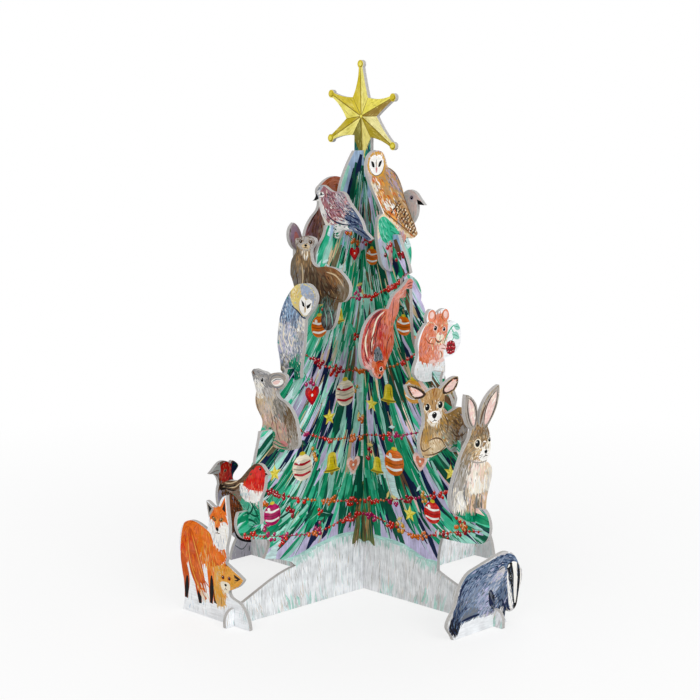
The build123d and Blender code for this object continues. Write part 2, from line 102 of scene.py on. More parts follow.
# The bend below which edges and corners between faces are dropped, in radians
STRAIGHT = 0.02
# Steps from one place of a smooth curve to the next
CURVE_STEPS = 5

# A brush mark: where it is widest, the width of its root and how much it curls
MARK_BELLY = 0.45
MARK_ROOT = 0.5
MARK_CURL = 0.8
# Fur: the share of its box that a mark covers, tries for each mark, and spreads
MARK_COVER = 0.55
MARK_TRIES = 12
MARK_LENGTHS = (0.6, 1.2)
MARK_WIDTHS = (0.55, 1.15)
HEADING_SPREAD = 0.16
# How far a pull is felt, how sharply the pulls part, and the share of one pure colour
PULL_CORE = 2
PULL_SHARPNESS = 1.6
PURE_SHARE = 0.7
# Ground colour round a pull, as multiples of the way to the next pull
GROUND_REACH = (2.3, 1.8)
# How full a brush line is between its ends
LINE_FULLNESS = 0.6
# Sizes of an eye's glint and rim, as multiples of its width
GLINT = 0.28
EYE_RIM = (1.55, 1.35)

# Colours of the paints, as they look
SNOW = (0.93, 0.94, 0.95)
PAPER = (0.95, 0.94, 0.92)
CREAM = (0.92, 0.88, 0.79)
SAND = (0.82, 0.73, 0.58)
TAN = (0.69, 0.54, 0.36)
OCHRE = (0.80, 0.60, 0.27)
AMBER = (0.88, 0.62, 0.26)
ORANGE = (0.88, 0.43, 0.12)
RUST = (0.76, 0.33, 0.13)
CORAL = (0.87, 0.52, 0.40)
ROSE = (0.79, 0.51, 0.50)
BLUSH = (0.92, 0.78, 0.75)
RED = (0.84, 0.15, 0.12)
CRIMSON = (0.66, 0.11, 0.17)
MAGENTA = (0.73, 0.17, 0.40)
MAROON = (0.38, 0.17, 0.17)
CHESTNUT = (0.50, 0.29, 0.16)
UMBER = (0.39, 0.29, 0.21)
SEPIA = (0.22, 0.16, 0.12)
INK = (0.06, 0.06, 0.07)
OLIVE = (0.42, 0.38, 0.29)
STONE = (0.63, 0.60, 0.57)
ASH = (0.78, 0.77, 0.77)
SLATE = (0.43, 0.45, 0.48)
DUSK = (0.60, 0.65, 0.74)
DENIM = (0.37, 0.45, 0.56)
NAVY = (0.07, 0.12, 0.25)
MAUVE = (0.67, 0.58, 0.68)
LILAC = (0.74, 0.71, 0.84)
SKY = (0.57, 0.71, 0.84)
PINE = (0.03, 0.31, 0.24)
LEAF = (0.08, 0.53, 0.37)
JADE = (0.24, 0.70, 0.55)
AQUA = (0.58, 0.81, 0.75)
FROST = (0.76, 0.87, 0.87)
LEMON = (0.93, 0.88, 0.38)
STRAW = (0.86, 0.78, 0.47)
GOLD = (0.83, 0.75, 0.22)
BRONZE = (0.54, 0.46, 0.16)
BARK = (0.42, 0.44, 0.26)
GREY_BOARD = (0.70, 0.69, 0.68)


def linear(color):
    """Turn a colour as it looks into the numbers that light is worked out with."""
    return tuple(c ** 2.2 for c in color)


def mix(first, second, share):
    """Return a colour between two."""
    return tuple(a + (b - a) * share for a, b in zip(first, second))


def mean(colors):
    """Return the mean of the colours."""
    return tuple(sum(parts) / len(colors) for parts in zip(*colors))


def darker(color, gain):
    """Return the colour with less light in it."""
    return tuple(c * gain for c in color)


def heading(angle):
    """Return the way of one millimetre at an angle in radians."""
    return Vector((math.cos(angle), math.sin(angle)))


def left_of(way):
    """Return the way turned left by a quarter."""
    return Vector((-way.y, way.x))


def places(points):
    """Return the points, given in millimetres, as vectors."""
    return [Vector(point) for point in points]


def bend(before, here, there, after, t):
    """Return the point at t on the curve from here to there."""
    return 0.5 * (
        2 * here + (there - before) * t
        + (2 * before - 5 * here + 4 * there - after) * t * t
        + (3 * here - before - 3 * there + after) * t * t * t
    )


def smooth_ring(points):
    """Return the points of a closed curve through the given ones."""
    count = len(points)
    ring = []
    for i in range(count):
        before, here, there, after = (points[(i + k) % count] for k in (-1, 0, 1, 2))
        for step in range(CURVE_STEPS):
            ring.append(bend(before, here, there, after, step / CURVE_STEPS))
    return ring


def smooth_line(points):
    """Return the points of an open curve through the given ones."""
    padded = [points[0]] + list(points) + [points[-1]]
    line = []
    for before, here, there, after in zip(padded, padded[1:], padded[2:], padded[3:]):
        for step in range(CURVE_STEPS):
            line.append(bend(before, here, there, after, step / CURVE_STEPS))
    return line + [points[-1]]


def doubled_area(points):
    """Return twice the area of a ring, below zero if it runs clockwise."""
    return sum(a.x * b.y - b.x * a.y for a, b in zip(points, points[1:] + points[:1]))


def inside(point, ring):
    """Say whether the point lies in the ring."""
    found = False
    for a, b in zip(ring, ring[1:] + ring[:1]):
        if (a.y > point.y) != (b.y > point.y):
            if point.x < (b.x - a.x) * (point.y - a.y) / (b.y - a.y) + a.x:
                found = not found
    return found


def chord_gap(point, a, b):
    """Return how far the point lies off the chord from a to b."""
    along = (b - a).normalized()
    away = point - a
    return abs(away.x * along.y - away.y * along.x)


def straightened(ring):
    """Drop the points of a ring that lie on the chord between their neighbours."""
    kept = [0]
    while kept[-1] < len(ring) - 1:
        start = kept[-1]
        end = start + 1
        while end + 1 <= len(ring) - 1 and all(
            chord_gap(ring[k], ring[start], ring[end + 1]) < CHORD_ERROR
            for k in range(start + 1, end + 1)
        ):
            end += 1
        kept.append(end)
    return [ring[k] for k in kept]


def seen_faces(flat, faces, tops):
    """Return the corners, triangles and top fields of what shows.

    Edges between faces of one field are dropped, and so is what lies off the board.
    """
    sheet = bmesh.new()
    corners = [sheet.verts.new((*point, 0)) for point in flat]
    level = sheet.faces.layers.int.new("level")
    for face, top in zip(faces, tops):
        if top >= 0:
            sheet.faces.new([corners[i] for i in face])[level] = top
    bmesh.ops.delete(sheet, geom=[v for v in sheet.verts if not v.link_faces], context="VERTS")
    for edge in sheet.edges:
        edge.seam = len({face[level] for face in edge.link_faces}) > 1
    bmesh.ops.dissolve_limit(
        sheet, angle_limit=STRAIGHT, verts=sheet.verts[:], edges=sheet.edges[:], delimit={"SEAM"}
    )
    bmesh.ops.triangulate(sheet, faces=sheet.faces[:])
    sheet.verts.index_update()
    spots = np.array([v.co.xy[:] for v in sheet.verts])
    sides = np.array([[v.index for v in face.verts] for face in sheet.faces])
    tops = np.array([face[level] for face in sheet.faces])
    sheet.free()
    return spots, sides, tops


def facing_up(flat, sides):
    """Turn over the triangles that run clockwise."""
    a, b, c = (flat[sides[:, k]] for k in range(3))
    turn = (b[:, 0] - a[:, 0]) * (c[:, 1] - a[:, 1]) - (b[:, 1] - a[:, 1]) * (c[:, 0] - a[:, 0])
    sides[turn < 0] = sides[turn < 0][:, ::-1]
    return sides


def rim_of(sides, count):
    """Return the corners on the rim, and its edges as two rows of places among them."""
    edges = np.concatenate([sides[:, [0, 1]], sides[:, [1, 2]], sides[:, [2, 0]]])
    one_way = edges[:, 0] * count + edges[:, 1]
    other_way = edges[:, 1] * count + edges[:, 0]
    rims, in_rims = np.unique(edges[~np.isin(one_way, other_way)], return_inverse=True)
    return rims, in_rims.reshape(-1, 2).T


def add_object(name, data):
    """Make an object and put it in the scene."""
    thing = bpy.data.objects.new(name, data)
    bpy.context.scene.collection.objects.link(thing)
    return thing


class Print:
    """The fields of colour on both sides of one board."""

    def __init__(self, node, base, seed):
        low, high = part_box(node)
        self.node = node
        self.across = 0 if high.x - low.x < high.y - low.y else 1
        self.along = 1 - self.across
        ends = (low[self.across], high[self.across])
        self.front, self.back = ends if self.across else ends[::-1]
        self.low = Vector((low[self.along], low.z)) / MM
        self.size = Vector((high[self.along] - low[self.along], high.z - low.z)) / MM
        self.chance = random.Random(seed)
        self.outline = straightened(self.board_ring())
        self.fields = []
        self.field(self.outline, base)

    def board_ring(self):
        """Read the board's outline, in millimetres, from its front face."""
        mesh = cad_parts[self.node].data
        open_edges = {}
        for polygon in mesh.polygons:
            corners = [mesh.vertices[i].co for i in polygon.vertices]
            if all(abs(c[self.across] - self.front) < NEAR * MM for c in corners):
                ring = [(round(c[self.along] / MM, 3), round(c.z / MM, 3)) for c in corners]
                for a, b in zip(ring, ring[1:] + ring[:1]):
                    if open_edges.get(b) is not None and a in open_edges[b]:
                        open_edges[b].remove(a)
                    else:
                        open_edges.setdefault(a, []).append(b)
        follow = {a: bs[0] for a, bs in open_edges.items() if bs}
        start = here = min(follow)
        ring = []
        while True:
            ring.append(Vector(here))
            here = follow[here]
            if here == start:
                return ring

    def at(self, u, v):
        """Return the place, in millimetres, at percents of the width and height."""
        return Vector((self.low.x + u / 100 * self.size.x, self.low.y + v / 100 * self.size.y))

    def spot(self, low, high):
        """Return a random place between two corners."""
        return Vector((self.chance.uniform(low[0], high[0]), self.chance.uniform(low[1], high[1])))

    def tint(self, color, spread=0.06):
        """Return the colour a little lighter or darker, at random."""
        gain = 1 + self.chance.uniform(-spread, spread)
        return tuple(min(1, c * gain) for c in color)

    def field(self, points, color, way=(1, 0)):
        """Lay a field of colour, with the way that its brush went."""
        if doubled_area(points) < 0:
            points = points[::-1]
        self.fields.append((points, linear(color), points[0], Vector(way).normalized()))

    def ring(self, outline):
        """Return a round outline through places on the card."""
        return smooth_ring([self.at(u, v) for u, v in outline])

    def blob(self, outline, color):
        """Lay a field with a round outline through places on the card, and return it."""
        ring = self.ring(outline)
        self.field(ring, color)
        return ring

    def shape(self, outline, color):
        """Lay a field with straight edges between places on the card, and return it."""
        ring = [self.at(u, v) for u, v in outline]
        self.field(ring, color)
        return ring

    def disc(self, center, width, height, color, turn=0, points=14):
        """Lay an oval of a width and height in millimetres, turned by degrees."""
        angle = math.radians(turn)
        wide = heading(angle) * width / 2
        high = left_of(heading(angle)) * height / 2
        turns = [2 * math.pi * k / points for k in range(points)]
        ring = [center + wide * math.cos(t) + high * math.sin(t) for t in turns]
        self.field(ring, color, wide)

    def oval(self, u, v, width, height, color, turn=0, points=14):
        """Lay an oval at a place on the card."""
        self.disc(self.at(u, v), width, height, color, turn, points)

    def dot(self, center, width, color, points):
        """Lay a round dot."""
        self.disc(center, width, width, color, 0, points)

    def eye(self, u, v, width, rim=None):
        """Paint an eye with its glint, and a pale rim if it has one."""
        if rim:
            wide, high = EYE_RIM
            self.oval(u, v, wide * width, high * width, rim, 12)
        self.oval(u, v, width, 1.05 * width, INK)
        self.dot(self.at(u, v) + Vector((-0.17, 0.2)) * width, GLINT * width, PAPER, 6)

    def berry(self, u, v, width, color):
        """Paint a berry with its glint."""
        center = self.at(u, v)
        self.dot(center, width, color, 9)
        self.dot(center + Vector((-0.15, 0.18)) * width, 0.3 * width, BLUSH, 6)

    def band(self, points, width, color, ends=(0.3, 0.1)):
        """Lay a brush line, with the widths of its ends as shares of its width."""
        last = len(points) - 1
        left, right = [], []
        for i, point in enumerate(points):
            t = i / last
            fullness = math.sin(math.pi * t) ** LINE_FULLNESS
            half = width / 2 * max(fullness, ends[0] * (1 - t) + ends[1] * t)
            side = left_of((points[min(i + 1, last)] - points[max(i - 1, 0)]).normalized()) * half
            left.append(point + side)
            right.append(point - side)
        self.field(right + left[::-1], color, points[-1] - points[0])

    def line(self, run, width, color, ends=(0.3, 0.1)):
        """Lay a brush line through places on the card."""
        self.band(smooth_line([self.at(u, v) for u, v in run]), width, color, ends)

    def lines(self, width, color, *runs):
        """Lay several brush lines of one width and colour."""
        for run in runs:
            self.line(run, width, color)

    def dash(self, root, angle, length, width, color, curl=0.0):
        """Lay one short brush mark that tapers to a point."""
        way = heading(angle)
        side = left_of(way) * width / 2
        belly = root + way * length * MARK_BELLY + side * curl
        tip = root + way * length
        ring = [root - side * MARK_ROOT, belly - side, tip, belly + side, root + side * MARK_ROOT]
        self.field(ring, color, way)

    def fur(self, cover, length, width, pulls, area=None):
        """Scatter brush marks over an area.

        A pull is (u, v, heading in degrees, colours ...), and a mark takes its
        heading and its colour from the pulls near it.
        """
        ring = area or self.outline
        low = (min(p.x for p in ring), min(p.y for p in ring))
        high = (max(p.x for p in ring), max(p.y for p in ring))
        spots = [self.at(u, v) for u, v, *_ in pulls]
        turns = [math.radians(turn) for _, _, turn, *_ in pulls]
        wanted = int(cover * abs(doubled_area(ring)) / 2 / (MARK_COVER * length * width))
        laid = 0
        for _ in range(wanted * MARK_TRIES):
            if laid >= wanted:
                break
            root = self.spot(low, high)
            if not inside(root, ring):
                continue
            laid += 1
            weights = [1 / ((root - spot).length_squared + PULL_CORE) for spot in spots]
            angle = math.atan2(
                sum(w * math.sin(t) for w, t in zip(weights, turns)),
                sum(w * math.cos(t) for w, t in zip(weights, turns)),
            ) + self.chance.gauss(0, HEADING_SPREAD)
            _, _, _, *colors = self.chance.choices(pulls, [w ** PULL_SHARPNESS for w in weights])[0]
            reach = length * self.chance.uniform(*MARK_LENGTHS)
            thick = width * self.chance.uniform(*MARK_WIDTHS)
            color = self.tint(mix(mean(colors), self.chance.choice(colors), PURE_SHARE))
            self.dash(root, angle, reach, thick, color, self.chance.uniform(-MARK_CURL, MARK_CURL))

    def coat(self, length, width, pulls, cover=1.0):
        """Lay the ground colours of the pulls on the whole card, then their marks."""
        self.field(self.outline, mean([mean(colors) for _, _, _, *colors in pulls]))
        spots = [self.at(u, v) for u, v, *_ in pulls]
        grounds = []
        for spot, (_, _, turn, *colors) in zip(spots, pulls):
            near = min((spot - other).length for other in spots if other is not spot)
            grounds.append((-near, spot[:], turn, mean(colors)))
        wide, high = GROUND_REACH
        for near, spot, turn, color in sorted(grounds):
            self.disc(Vector(spot), -wide * near, -high * near, color, turn, 12)
        self.fur(cover, length, width, pulls)

    def patch(self, color, cover, length, width, outline, pulls):
        """Lay a round field and scatter brush marks over it."""
        self.fur(cover, length, width, pulls, self.blob(outline, color))

    def laid_fields(self):
        """Cut the fields where they cross, and return what shows of them."""
        points, rings = [], []
        for ring, *_ in self.fields:
            rings.append(list(range(len(points), len(points) + len(ring))))
            points += ring
        flat, _, faces, _, _, owners = delaunay_2d_cdt(points, [], rings, 1, MERGE, True)
        tops = [max(owner) if 0 in owner else -1 for owner in owners]
        return seen_faces(flat, faces, tops)

    def board_mesh(self, name, flat, sides, rims, rim_edges):
        """Make the closed board: two faces, and walls with a pale strip along each face."""
        count, rim_count = len(flat), len(rims)
        near_rim = 2 * count + np.arange(rim_count)
        rows = [rims, near_rim, near_rim + rim_count, rims + count]
        a, b = rim_edges
        walls = np.concatenate([
            np.stack([near[b], near[a], far[a], far[b]], axis=1) for near, far in zip(rows, rows[1:])
        ])
        skin = math.copysign(PAPER_SKIN * MM, self.back - self.front)
        spots = np.zeros((2 * count + 2 * rim_count, 3))
        for axis, part in ((self.along, 0), (2, 1)):
            face, rim = flat[:, part], flat[rims, part]
            spots[:, axis] = np.concatenate([face, face, rim, rim]) * MM
        spots[:, self.across] = np.repeat(
            [self.front, self.back, self.front + skin, self.back - skin],
            [count, count, rim_count, rim_count],
        )
        mesh = bpy.data.meshes.new(name)
        faces = [sides, sides[:, ::-1] + count, walls]
        mesh.from_pydata(spots.tolist(), [], sum((part.tolist() for part in faces), []))
        slots = np.zeros(len(mesh.polygons), int)
        slots[2 * len(sides):] = 1
        mesh.polygons.foreach_set("material_index", slots)
        return mesh

    def write_fields(self, mesh, flat, sides, tops, wall_count):
        """Write each corner's colour, and its place along and across its brush mark."""
        colors, origins, ways = (
            np.array([field[part][:] for field in self.fields])[tops] for part in (1, 2, 3)
        )
        corners = flat[sides] - origins[:, None, :]
        place = np.zeros((len(sides), 3, 3))
        place[:, :, 0] = (corners * ways[:, None, :]).sum(2)
        place[:, :, 1] = (
            corners[:, :, 1] * ways[:, None, 0] - corners[:, :, 0] * ways[:, None, 1]
        )
        place[:, :, 2] = tops[:, None]
        shade = np.ones((len(sides), 3, 4))
        shade[:, :, :3] = colors[:, None, :]
        # The walls are pale in a strip along each face, with grey board between
        strips = [
            np.tile([*linear(color), 1.0], (4 * wall_count, 1)) for color in (ASH, GREY_BOARD, ASH)
        ]
        shade = np.concatenate([shade.reshape(-1, 4), shade.reshape(-1, 4), *strips])
        wall_places = np.zeros((len(strips) * 4 * wall_count, 3))
        place = np.concatenate([place.reshape(-1, 3), place[:, ::-1].reshape(-1, 3), wall_places])
        for name, kind, slot, values in (
            ("print_color", "FLOAT_COLOR", "color", shade),
            ("brush_place", "FLOAT_VECTOR", "vector", place),
        ):
            mesh.attributes.new(name, kind, "CORNER").data.foreach_set(slot, values.ravel())

    def board(self, name, paints):
        """Make the printed board that stands for the node."""
        flat, sides, tops = self.laid_fields()
        sides = facing_up(flat, sides)
        rims, rim_edges = rim_of(sides, len(flat))
        mesh = self.board_mesh(name, flat, sides, rims, rim_edges)
        for paint in paints:
            mesh.materials.append(paint)
        self.write_fields(mesh, flat, sides, tops, rim_edges.shape[1])
        piece = add_object(name, mesh)
        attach(piece, "root")
        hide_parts(self.node)


# Painters of the cards. A pull of a coat, fur or patch is (u, v, heading, colours ...)
def paint_thrush(card):
    card.blob([
        (5, 80), (14, 97), (34, 88), (58, 80), (84, 33), (60, 19), (30, 15), (17, 36), (12, 66),
    ], ASH)
    card.blob([(46, 18), (66, 30), (86, 24), (99, 6), (94, 3), (72, 14)], SLATE)
    card.coat(3.0, 0.8, [
        (12, 93, -150, SLATE, DUSK, ASH), (15, 66, -100, PAPER, ASH),
        (28, 76, -50, ROSE, MAROON, MAUVE), (48, 76, -40, MAUVE, ASH, ROSE, SLATE),
        (38, 46, -40, ROSE, MAUVE, MAROON), (22, 26, -35, PAPER, CREAM, ASH),
        (45, 20, -10, PAPER, ASH), (67, 42, -30, NAVY, DENIM, DUSK),
        (90, 12, -28, SLATE, NAVY, DENIM), (34, 4, 60, PINE, LEAF),
    ])
    mantle = card.ring([(24, 84), (40, 86), (58, 76), (74, 48), (56, 44), (32, 56)])
    card.fur(0.3, 1.8, 0.5, [(40, 70, -35, NAVY, PAPER, INK), (70, 50, -30, INK, PAPER)], mantle)
    card.lines(
        0.8, NAVY, [(20, 62), (28, 42), (42, 30), (62, 27), (84, 31)],
        [(56, 50), (70, 42), (82, 36)], [(52, 40), (66, 34), (80, 31)],
        [(70, 24), (84, 16), (97, 6)],
    )
    card.line([(86, 25), (93, 15), (99, 7)], 0.9, ASH)
    card.lines(0.7, UMBER, [(30, 16), (28, 8), (31, 1)], [(38, 15), (37, 7), (40, 1)])
    card.blob([(11, 80), (13, 86), (19, 86), (21, 80), (16, 77)], PAPER)
    card.lines(0.6, SLATE, [(10, 80), (16, 81), (22, 83)])
    card.shape([(0, 69), (3, 76), (8, 83), (11.5, 74), (7, 70)], INK)
    card.eye(15.5, 83.5, 1.7)


def paint_marten(card):
    card.coat(3.8, 0.9, [
        (25, 99, -90, UMBER, STONE, OLIVE), (25, 86, -90, TAN, STONE, OLIVE),
        (24, 76, -95, TAN, OLIVE, UMBER), (6, 60, -100, OLIVE, SLATE, UMBER),
        (22, 58, -92, UMBER, OLIVE, STONE), (36, 56, -80, UMBER, SEPIA, OLIVE),
        (20, 35, -95, OLIVE, STONE, SLATE), (40, 35, -80, UMBER, SEPIA),
        (55, 62, -25, CHESTNUT, UMBER, OLIVE), (78, 62, -35, CHESTNUT, UMBER, TAN),
        (94, 48, -75, OLIVE, UMBER, STONE), (70, 47, -50, SEPIA, UMBER),
        (85, 36, -150, UMBER, OLIVE), (64, 20, -105, SLATE, PINE, STONE),
        (66, 4, -105, SEPIA, SLATE),
    ])
    card.blob([
        (11, 97), (10, 92), (15, 87), (26, 84.5), (37, 87), (41, 92), (40, 97.5), (26, 99),
    ], mix(STONE, ASH, 0.4))
    card.fur(0.9, 1.8, 0.6, [
        (14, 96, 120, STONE, UMBER), (26, 98, 90, UMBER, STONE), (38, 96, 60, STONE, UMBER),
        (26, 89, -90, SAND, STONE, ASH),
    ], card.ring([(11, 96), (13, 88), (26, 85), (39, 88), (40, 96), (26, 99)]))
    card.blob([(20, 89.5), (27, 91.5), (34, 89.5), (32, 86.5), (27, 85.5), (22, 86.5)], SAND)
    card.fur(0.8, 3.4, 0.8, [
        (27, 84, -90, CREAM, SAND, PAPER),
    ], card.ring([(20, 85), (27, 86), (34, 85), (31, 80), (27, 78), (23, 80)]))
    for u in (18.5, 35.5):
        card.oval(u, 93.7, 3.0, 2.3, UMBER)
        card.eye(u, 93.5, 1.7)
    card.oval(27, 89.7, 2.4, 1.5, INK)
    card.lines(0.45, SEPIA, [(27, 89), (27, 87.5), (23, 86.8)], [(27, 87.5), (31, 86.8)])
    card.lines(
        0.8, SEPIA, [(9, 62), (13, 48), (12, 34)], [(33, 62), (37, 46), (35, 30)],
        [(45, 62), (46, 48), (42, 32)], [(53, 60), (56, 46), (68, 37), (84, 35)],
    )
    card.lines(0.9, SAND, [(20, 70), (22, 56), (20, 42)], [(62, 63), (78, 60), (91, 49)])
    card.line([(44, 83), (42, 78), (44, 72)], 1.8, PAPER)
    card.lines(0.7, AQUA, [(58, 24), (62, 14), (62, 4)], [(66, 26), (71, 15), (72, 6)])


def paint_blue_owl(card):
    card.coat(3.0, 0.8, [
        (12, 70, -105, DENIM, DUSK, NAVY), (32, 72, -100, DENIM, DUSK, SKY),
        (48, 60, -95, SLATE, DUSK, DENIM), (8, 52, -95, ASH, CREAM, DUSK),
        (30, 48, -95, ASH, DUSK, LILAC), (30, 34, -90, PAPER, LILAC, ASH),
        (10, 24, -85, ASH, LILAC, DUSK), (62, 50, -95, SLATE, ASH, STONE),
        (55, 30, -95, DUSK, ASH, SLATE), (20, 12, -80, OLIVE, SLATE, STONE),
        (45, 8, -100, LEAF, PINE, LEAF), (52, 20, -100, LEAF, PINE, JADE),
        (62, 58, -95, CREAM, ASH),
    ])
    card.fur(0.22, 2.2, 0.5, [
        (20, 70, -80, NAVY, DENIM), (30, 40, -70, DENIM, DUSK), (50, 20, -80, SLATE, DUSK),
    ])
    card.fur(0.12, 2.0, 0.6, [(30, 70, -80, PAPER, SKY), (40, 40, -70, PAPER, CREAM)])
    card.lines(
        0.9, CREAM, [(20, 56), (16, 44), (24, 34)], [(36, 52), (30, 42), (38, 34), (42, 44)],
        [(6, 44), (8, 34), (16, 26)],
    )
    card.fur(0.8, 3.0, 0.9, [
        (40, 10, -95, LEAF, PINE, JADE), (50, 20, -95, PINE, LEAF, JADE),
    ], card.ring([(34, 16), (46, 26), (60, 30), (62, 2), (36, 2)]))
    head = card.blob([
        (35, 85), (40, 95), (56, 99), (78, 99), (95, 93), (98, 84), (90, 76), (74, 67), (58, 70),
        (42, 76),
    ], STRAW)
    card.blob([(62, 97), (78, 97.5), (93, 92), (96, 84), (90, 78), (72, 86), (64, 88)], DUSK)
    card.fur(0.8, 1.9, 0.6, [
        (44, 88, 100, STRAW, OCHRE, CREAM), (50, 75, -60, SAND, STRAW),
        (72, 95, 60, DUSK, SKY, ASH), (92, 86, 0, STONE, DUSK, ASH),
    ], head)
    card.blob([
        (58, 79), (62, 85), (69, 87), (74, 83), (82, 85), (90, 82), (88, 75), (79, 69), (70, 67.5),
        (60, 71),
    ], PAPER)
    card.lines(0.55, STONE, [(57, 80), (58, 73), (66, 68)], [(90, 81), (88, 74), (78, 68.5)])
    card.shape([(62.5, 83), (70, 80), (71.5, 75.5), (65.5, 77)], INK)
    card.shape([(75.5, 77.5), (88, 81), (83, 76), (77, 74.5)], INK)
    card.blob([(71.5, 76.5), (74.5, 75), (73.5, 71), (70.5, 70.5), (70, 74)], SAND)
    card.lines(0.4, UMBER, [(73, 82), (73, 77), (72, 70.5)])
    card.line([(38, 75.5), (52, 71.5), (66, 65.5), (76, 65)], 1.0, NAVY)
    card.lines(0.5, SEPIA, [(25, 12), (24, 7), (28, 3)], [(33, 12), (33, 7), (37, 3)])


def paint_mouse(card):
    card.coat(3.0, 0.8, [
        (6, 96, -20, STONE, SLATE), (22, 94, -10, STONE, ASH, SLATE), (34, 88, -20, SLATE, STONE),
        (14, 79, -60, PAPER, ASH, CREAM), (34, 76, -60, ASH, STONE),
        (20, 60, -95, SAND, STONE, TAN), (42, 60, -80, STONE, SAND, ASH),
        (30, 40, -80, BLUSH, SAND, STONE), (36, 24, -75, ROSE, SAND, STONE),
        (62, 52, -55, STONE, SLATE, OLIVE), (86, 38, -70, OLIVE, STONE, UMBER),
        (78, 46, -65, OLIVE, UMBER), (64, 20, -80, ROSE, SAND, STONE),
        (92, 14, -95, STONE, ASH, OLIVE),
    ])
    card.blob([
        (38, 90), (47, 97), (62, 98.5), (72, 96), (71, 89), (63, 82), (50, 79), (42, 82),
    ], STONE)
    card.blob([(43, 87), (52, 92), (64, 93), (69, 89), (62, 84), (50, 82)], PAPER)
    card.blob([(46, 86), (54, 89.5), (62, 90), (58, 85.5), (50, 83.5)], BLUSH)
    card.lines(
        0.6, SLATE, [(40, 84), (44, 93), (56, 97), (70, 95.5)],
        [(41, 83), (50, 80), (62, 82), (70, 88)], [(44, 86), (54, 91), (66, 92)],
    )
    card.lines(
        0.6, UMBER, [(12, 70), (10, 60), (16, 44), (24, 33)], [(52, 40), (54, 24), (62, 8)],
        [(74, 34), (80, 20), (74, 6)], [(40, 48), (45, 36), (42, 28)],
    )
    card.blob([(17, 17), (22, 24), (33, 22), (44, 24), (46, 14), (36, 10), (22, 12)], JADE)
    card.fur(1.0, 2.6, 0.7, [
        (20, 20, 150, JADE, AQUA, PINE), (40, 15, 30, LEAF, JADE, PINE),
    ], card.ring([(18, 16), (24, 23), (44, 23), (47, 8), (30, 6)]))
    card.lines(0.9, LEAF, [(46, 6), (60, 3), (78, 3)], [(50, 10), (62, 7), (72, 6)])
    card.blob([(60, 9), (68, 12), (78, 8), (70, 5)], ROSE)
    card.lines(0.4, UMBER, [(62, 8), (68, 7)], [(66, 6), (72, 6.5)])
    card.blob([(6, 95), (2, 97), (4, 93), (7, 92)], UMBER)
    card.lines(
        0.3, ASH, [(8, 91), (2, 86), (1, 84)], [(9, 89), (6, 83), (5, 80)],
        [(11, 89), (16, 84), (20, 80)],
    )
    card.eye(23, 87, 2.5, ASH)


def paint_robin(card):
    card.coat(3.0, 0.8, [
        (10, 50, 20, STONE, UMBER), (55, 25, -50, AQUA, JADE, LEAF),
        (75, 15, -30, PINE, LEAF, JADE), (50, 8, 20, JADE, AQUA), (95, 80, -90, ASH, STONE),
    ], 0.7)
    card.blob([
        (0, 57), (12, 63), (30, 66), (46, 78), (60, 91), (74, 99), (88, 99), (95, 90), (80, 88),
        (62, 78), (46, 62), (28, 50), (10, 47),
    ], UMBER)
    card.patch(PAPER, 0.6, 2.6, 0.8, [
        (38, 62), (55, 64), (78, 62), (88, 60), (86, 48), (74, 39), (56, 36), (42, 42),
    ], [(40, 50, -100, FROST, ASH, DUSK), (70, 50, -90, PAPER, SNOW), (84, 50, -90, BLUSH, ASH)])
    card.patch(RED, 0.8, 3.0, 0.8, [
        (46, 64), (58, 80), (70, 93), (84, 97), (93, 90), (94, 76), (88, 60), (72, 57), (56, 57),
    ], [
        (50, 62, -110, RED, RUST), (70, 80, -100, RED, CRIMSON, RUST), (90, 80, -95, RED, CRIMSON),
        (72, 60, -95, CORAL, RED),
    ])
    back = card.ring([(0, 56), (30, 65), (60, 90), (76, 98), (62, 79), (30, 52), (5, 47)])
    card.fur(0.9, 3.6, 0.7, [
        (10, 55, 15, SEPIA, OLIVE, UMBER), (40, 68, 40, UMBER, SEPIA, OLIVE),
        (70, 93, 50, SEPIA, UMBER),
    ], back)
    card.lines(0.7, SAND, [(4, 57), (18, 59), (34, 66)], [(10, 52), (26, 54), (40, 64)])
    card.lines(0.8, INK, [(0, 54), (14, 53), (30, 58)], [(2, 49), (16, 48), (30, 50)])
    card.lines(
        1.2, PINE, [(60, 38), (72, 26), (80, 10)], [(56, 20), (70, 17), (80, 20)],
        [(48, 6), (62, 9), (76, 5)], [(66, 32), (62, 22), (52, 14)],
    )
    card.lines(0.5, INK, [(58, 37), (57, 28), (52, 21)], [(66, 37), (66, 27), (62, 20)])
    card.shape([(94, 89), (100, 87), (93, 83.5)], SEPIA)
    card.eye(83, 92.5, 1.7)


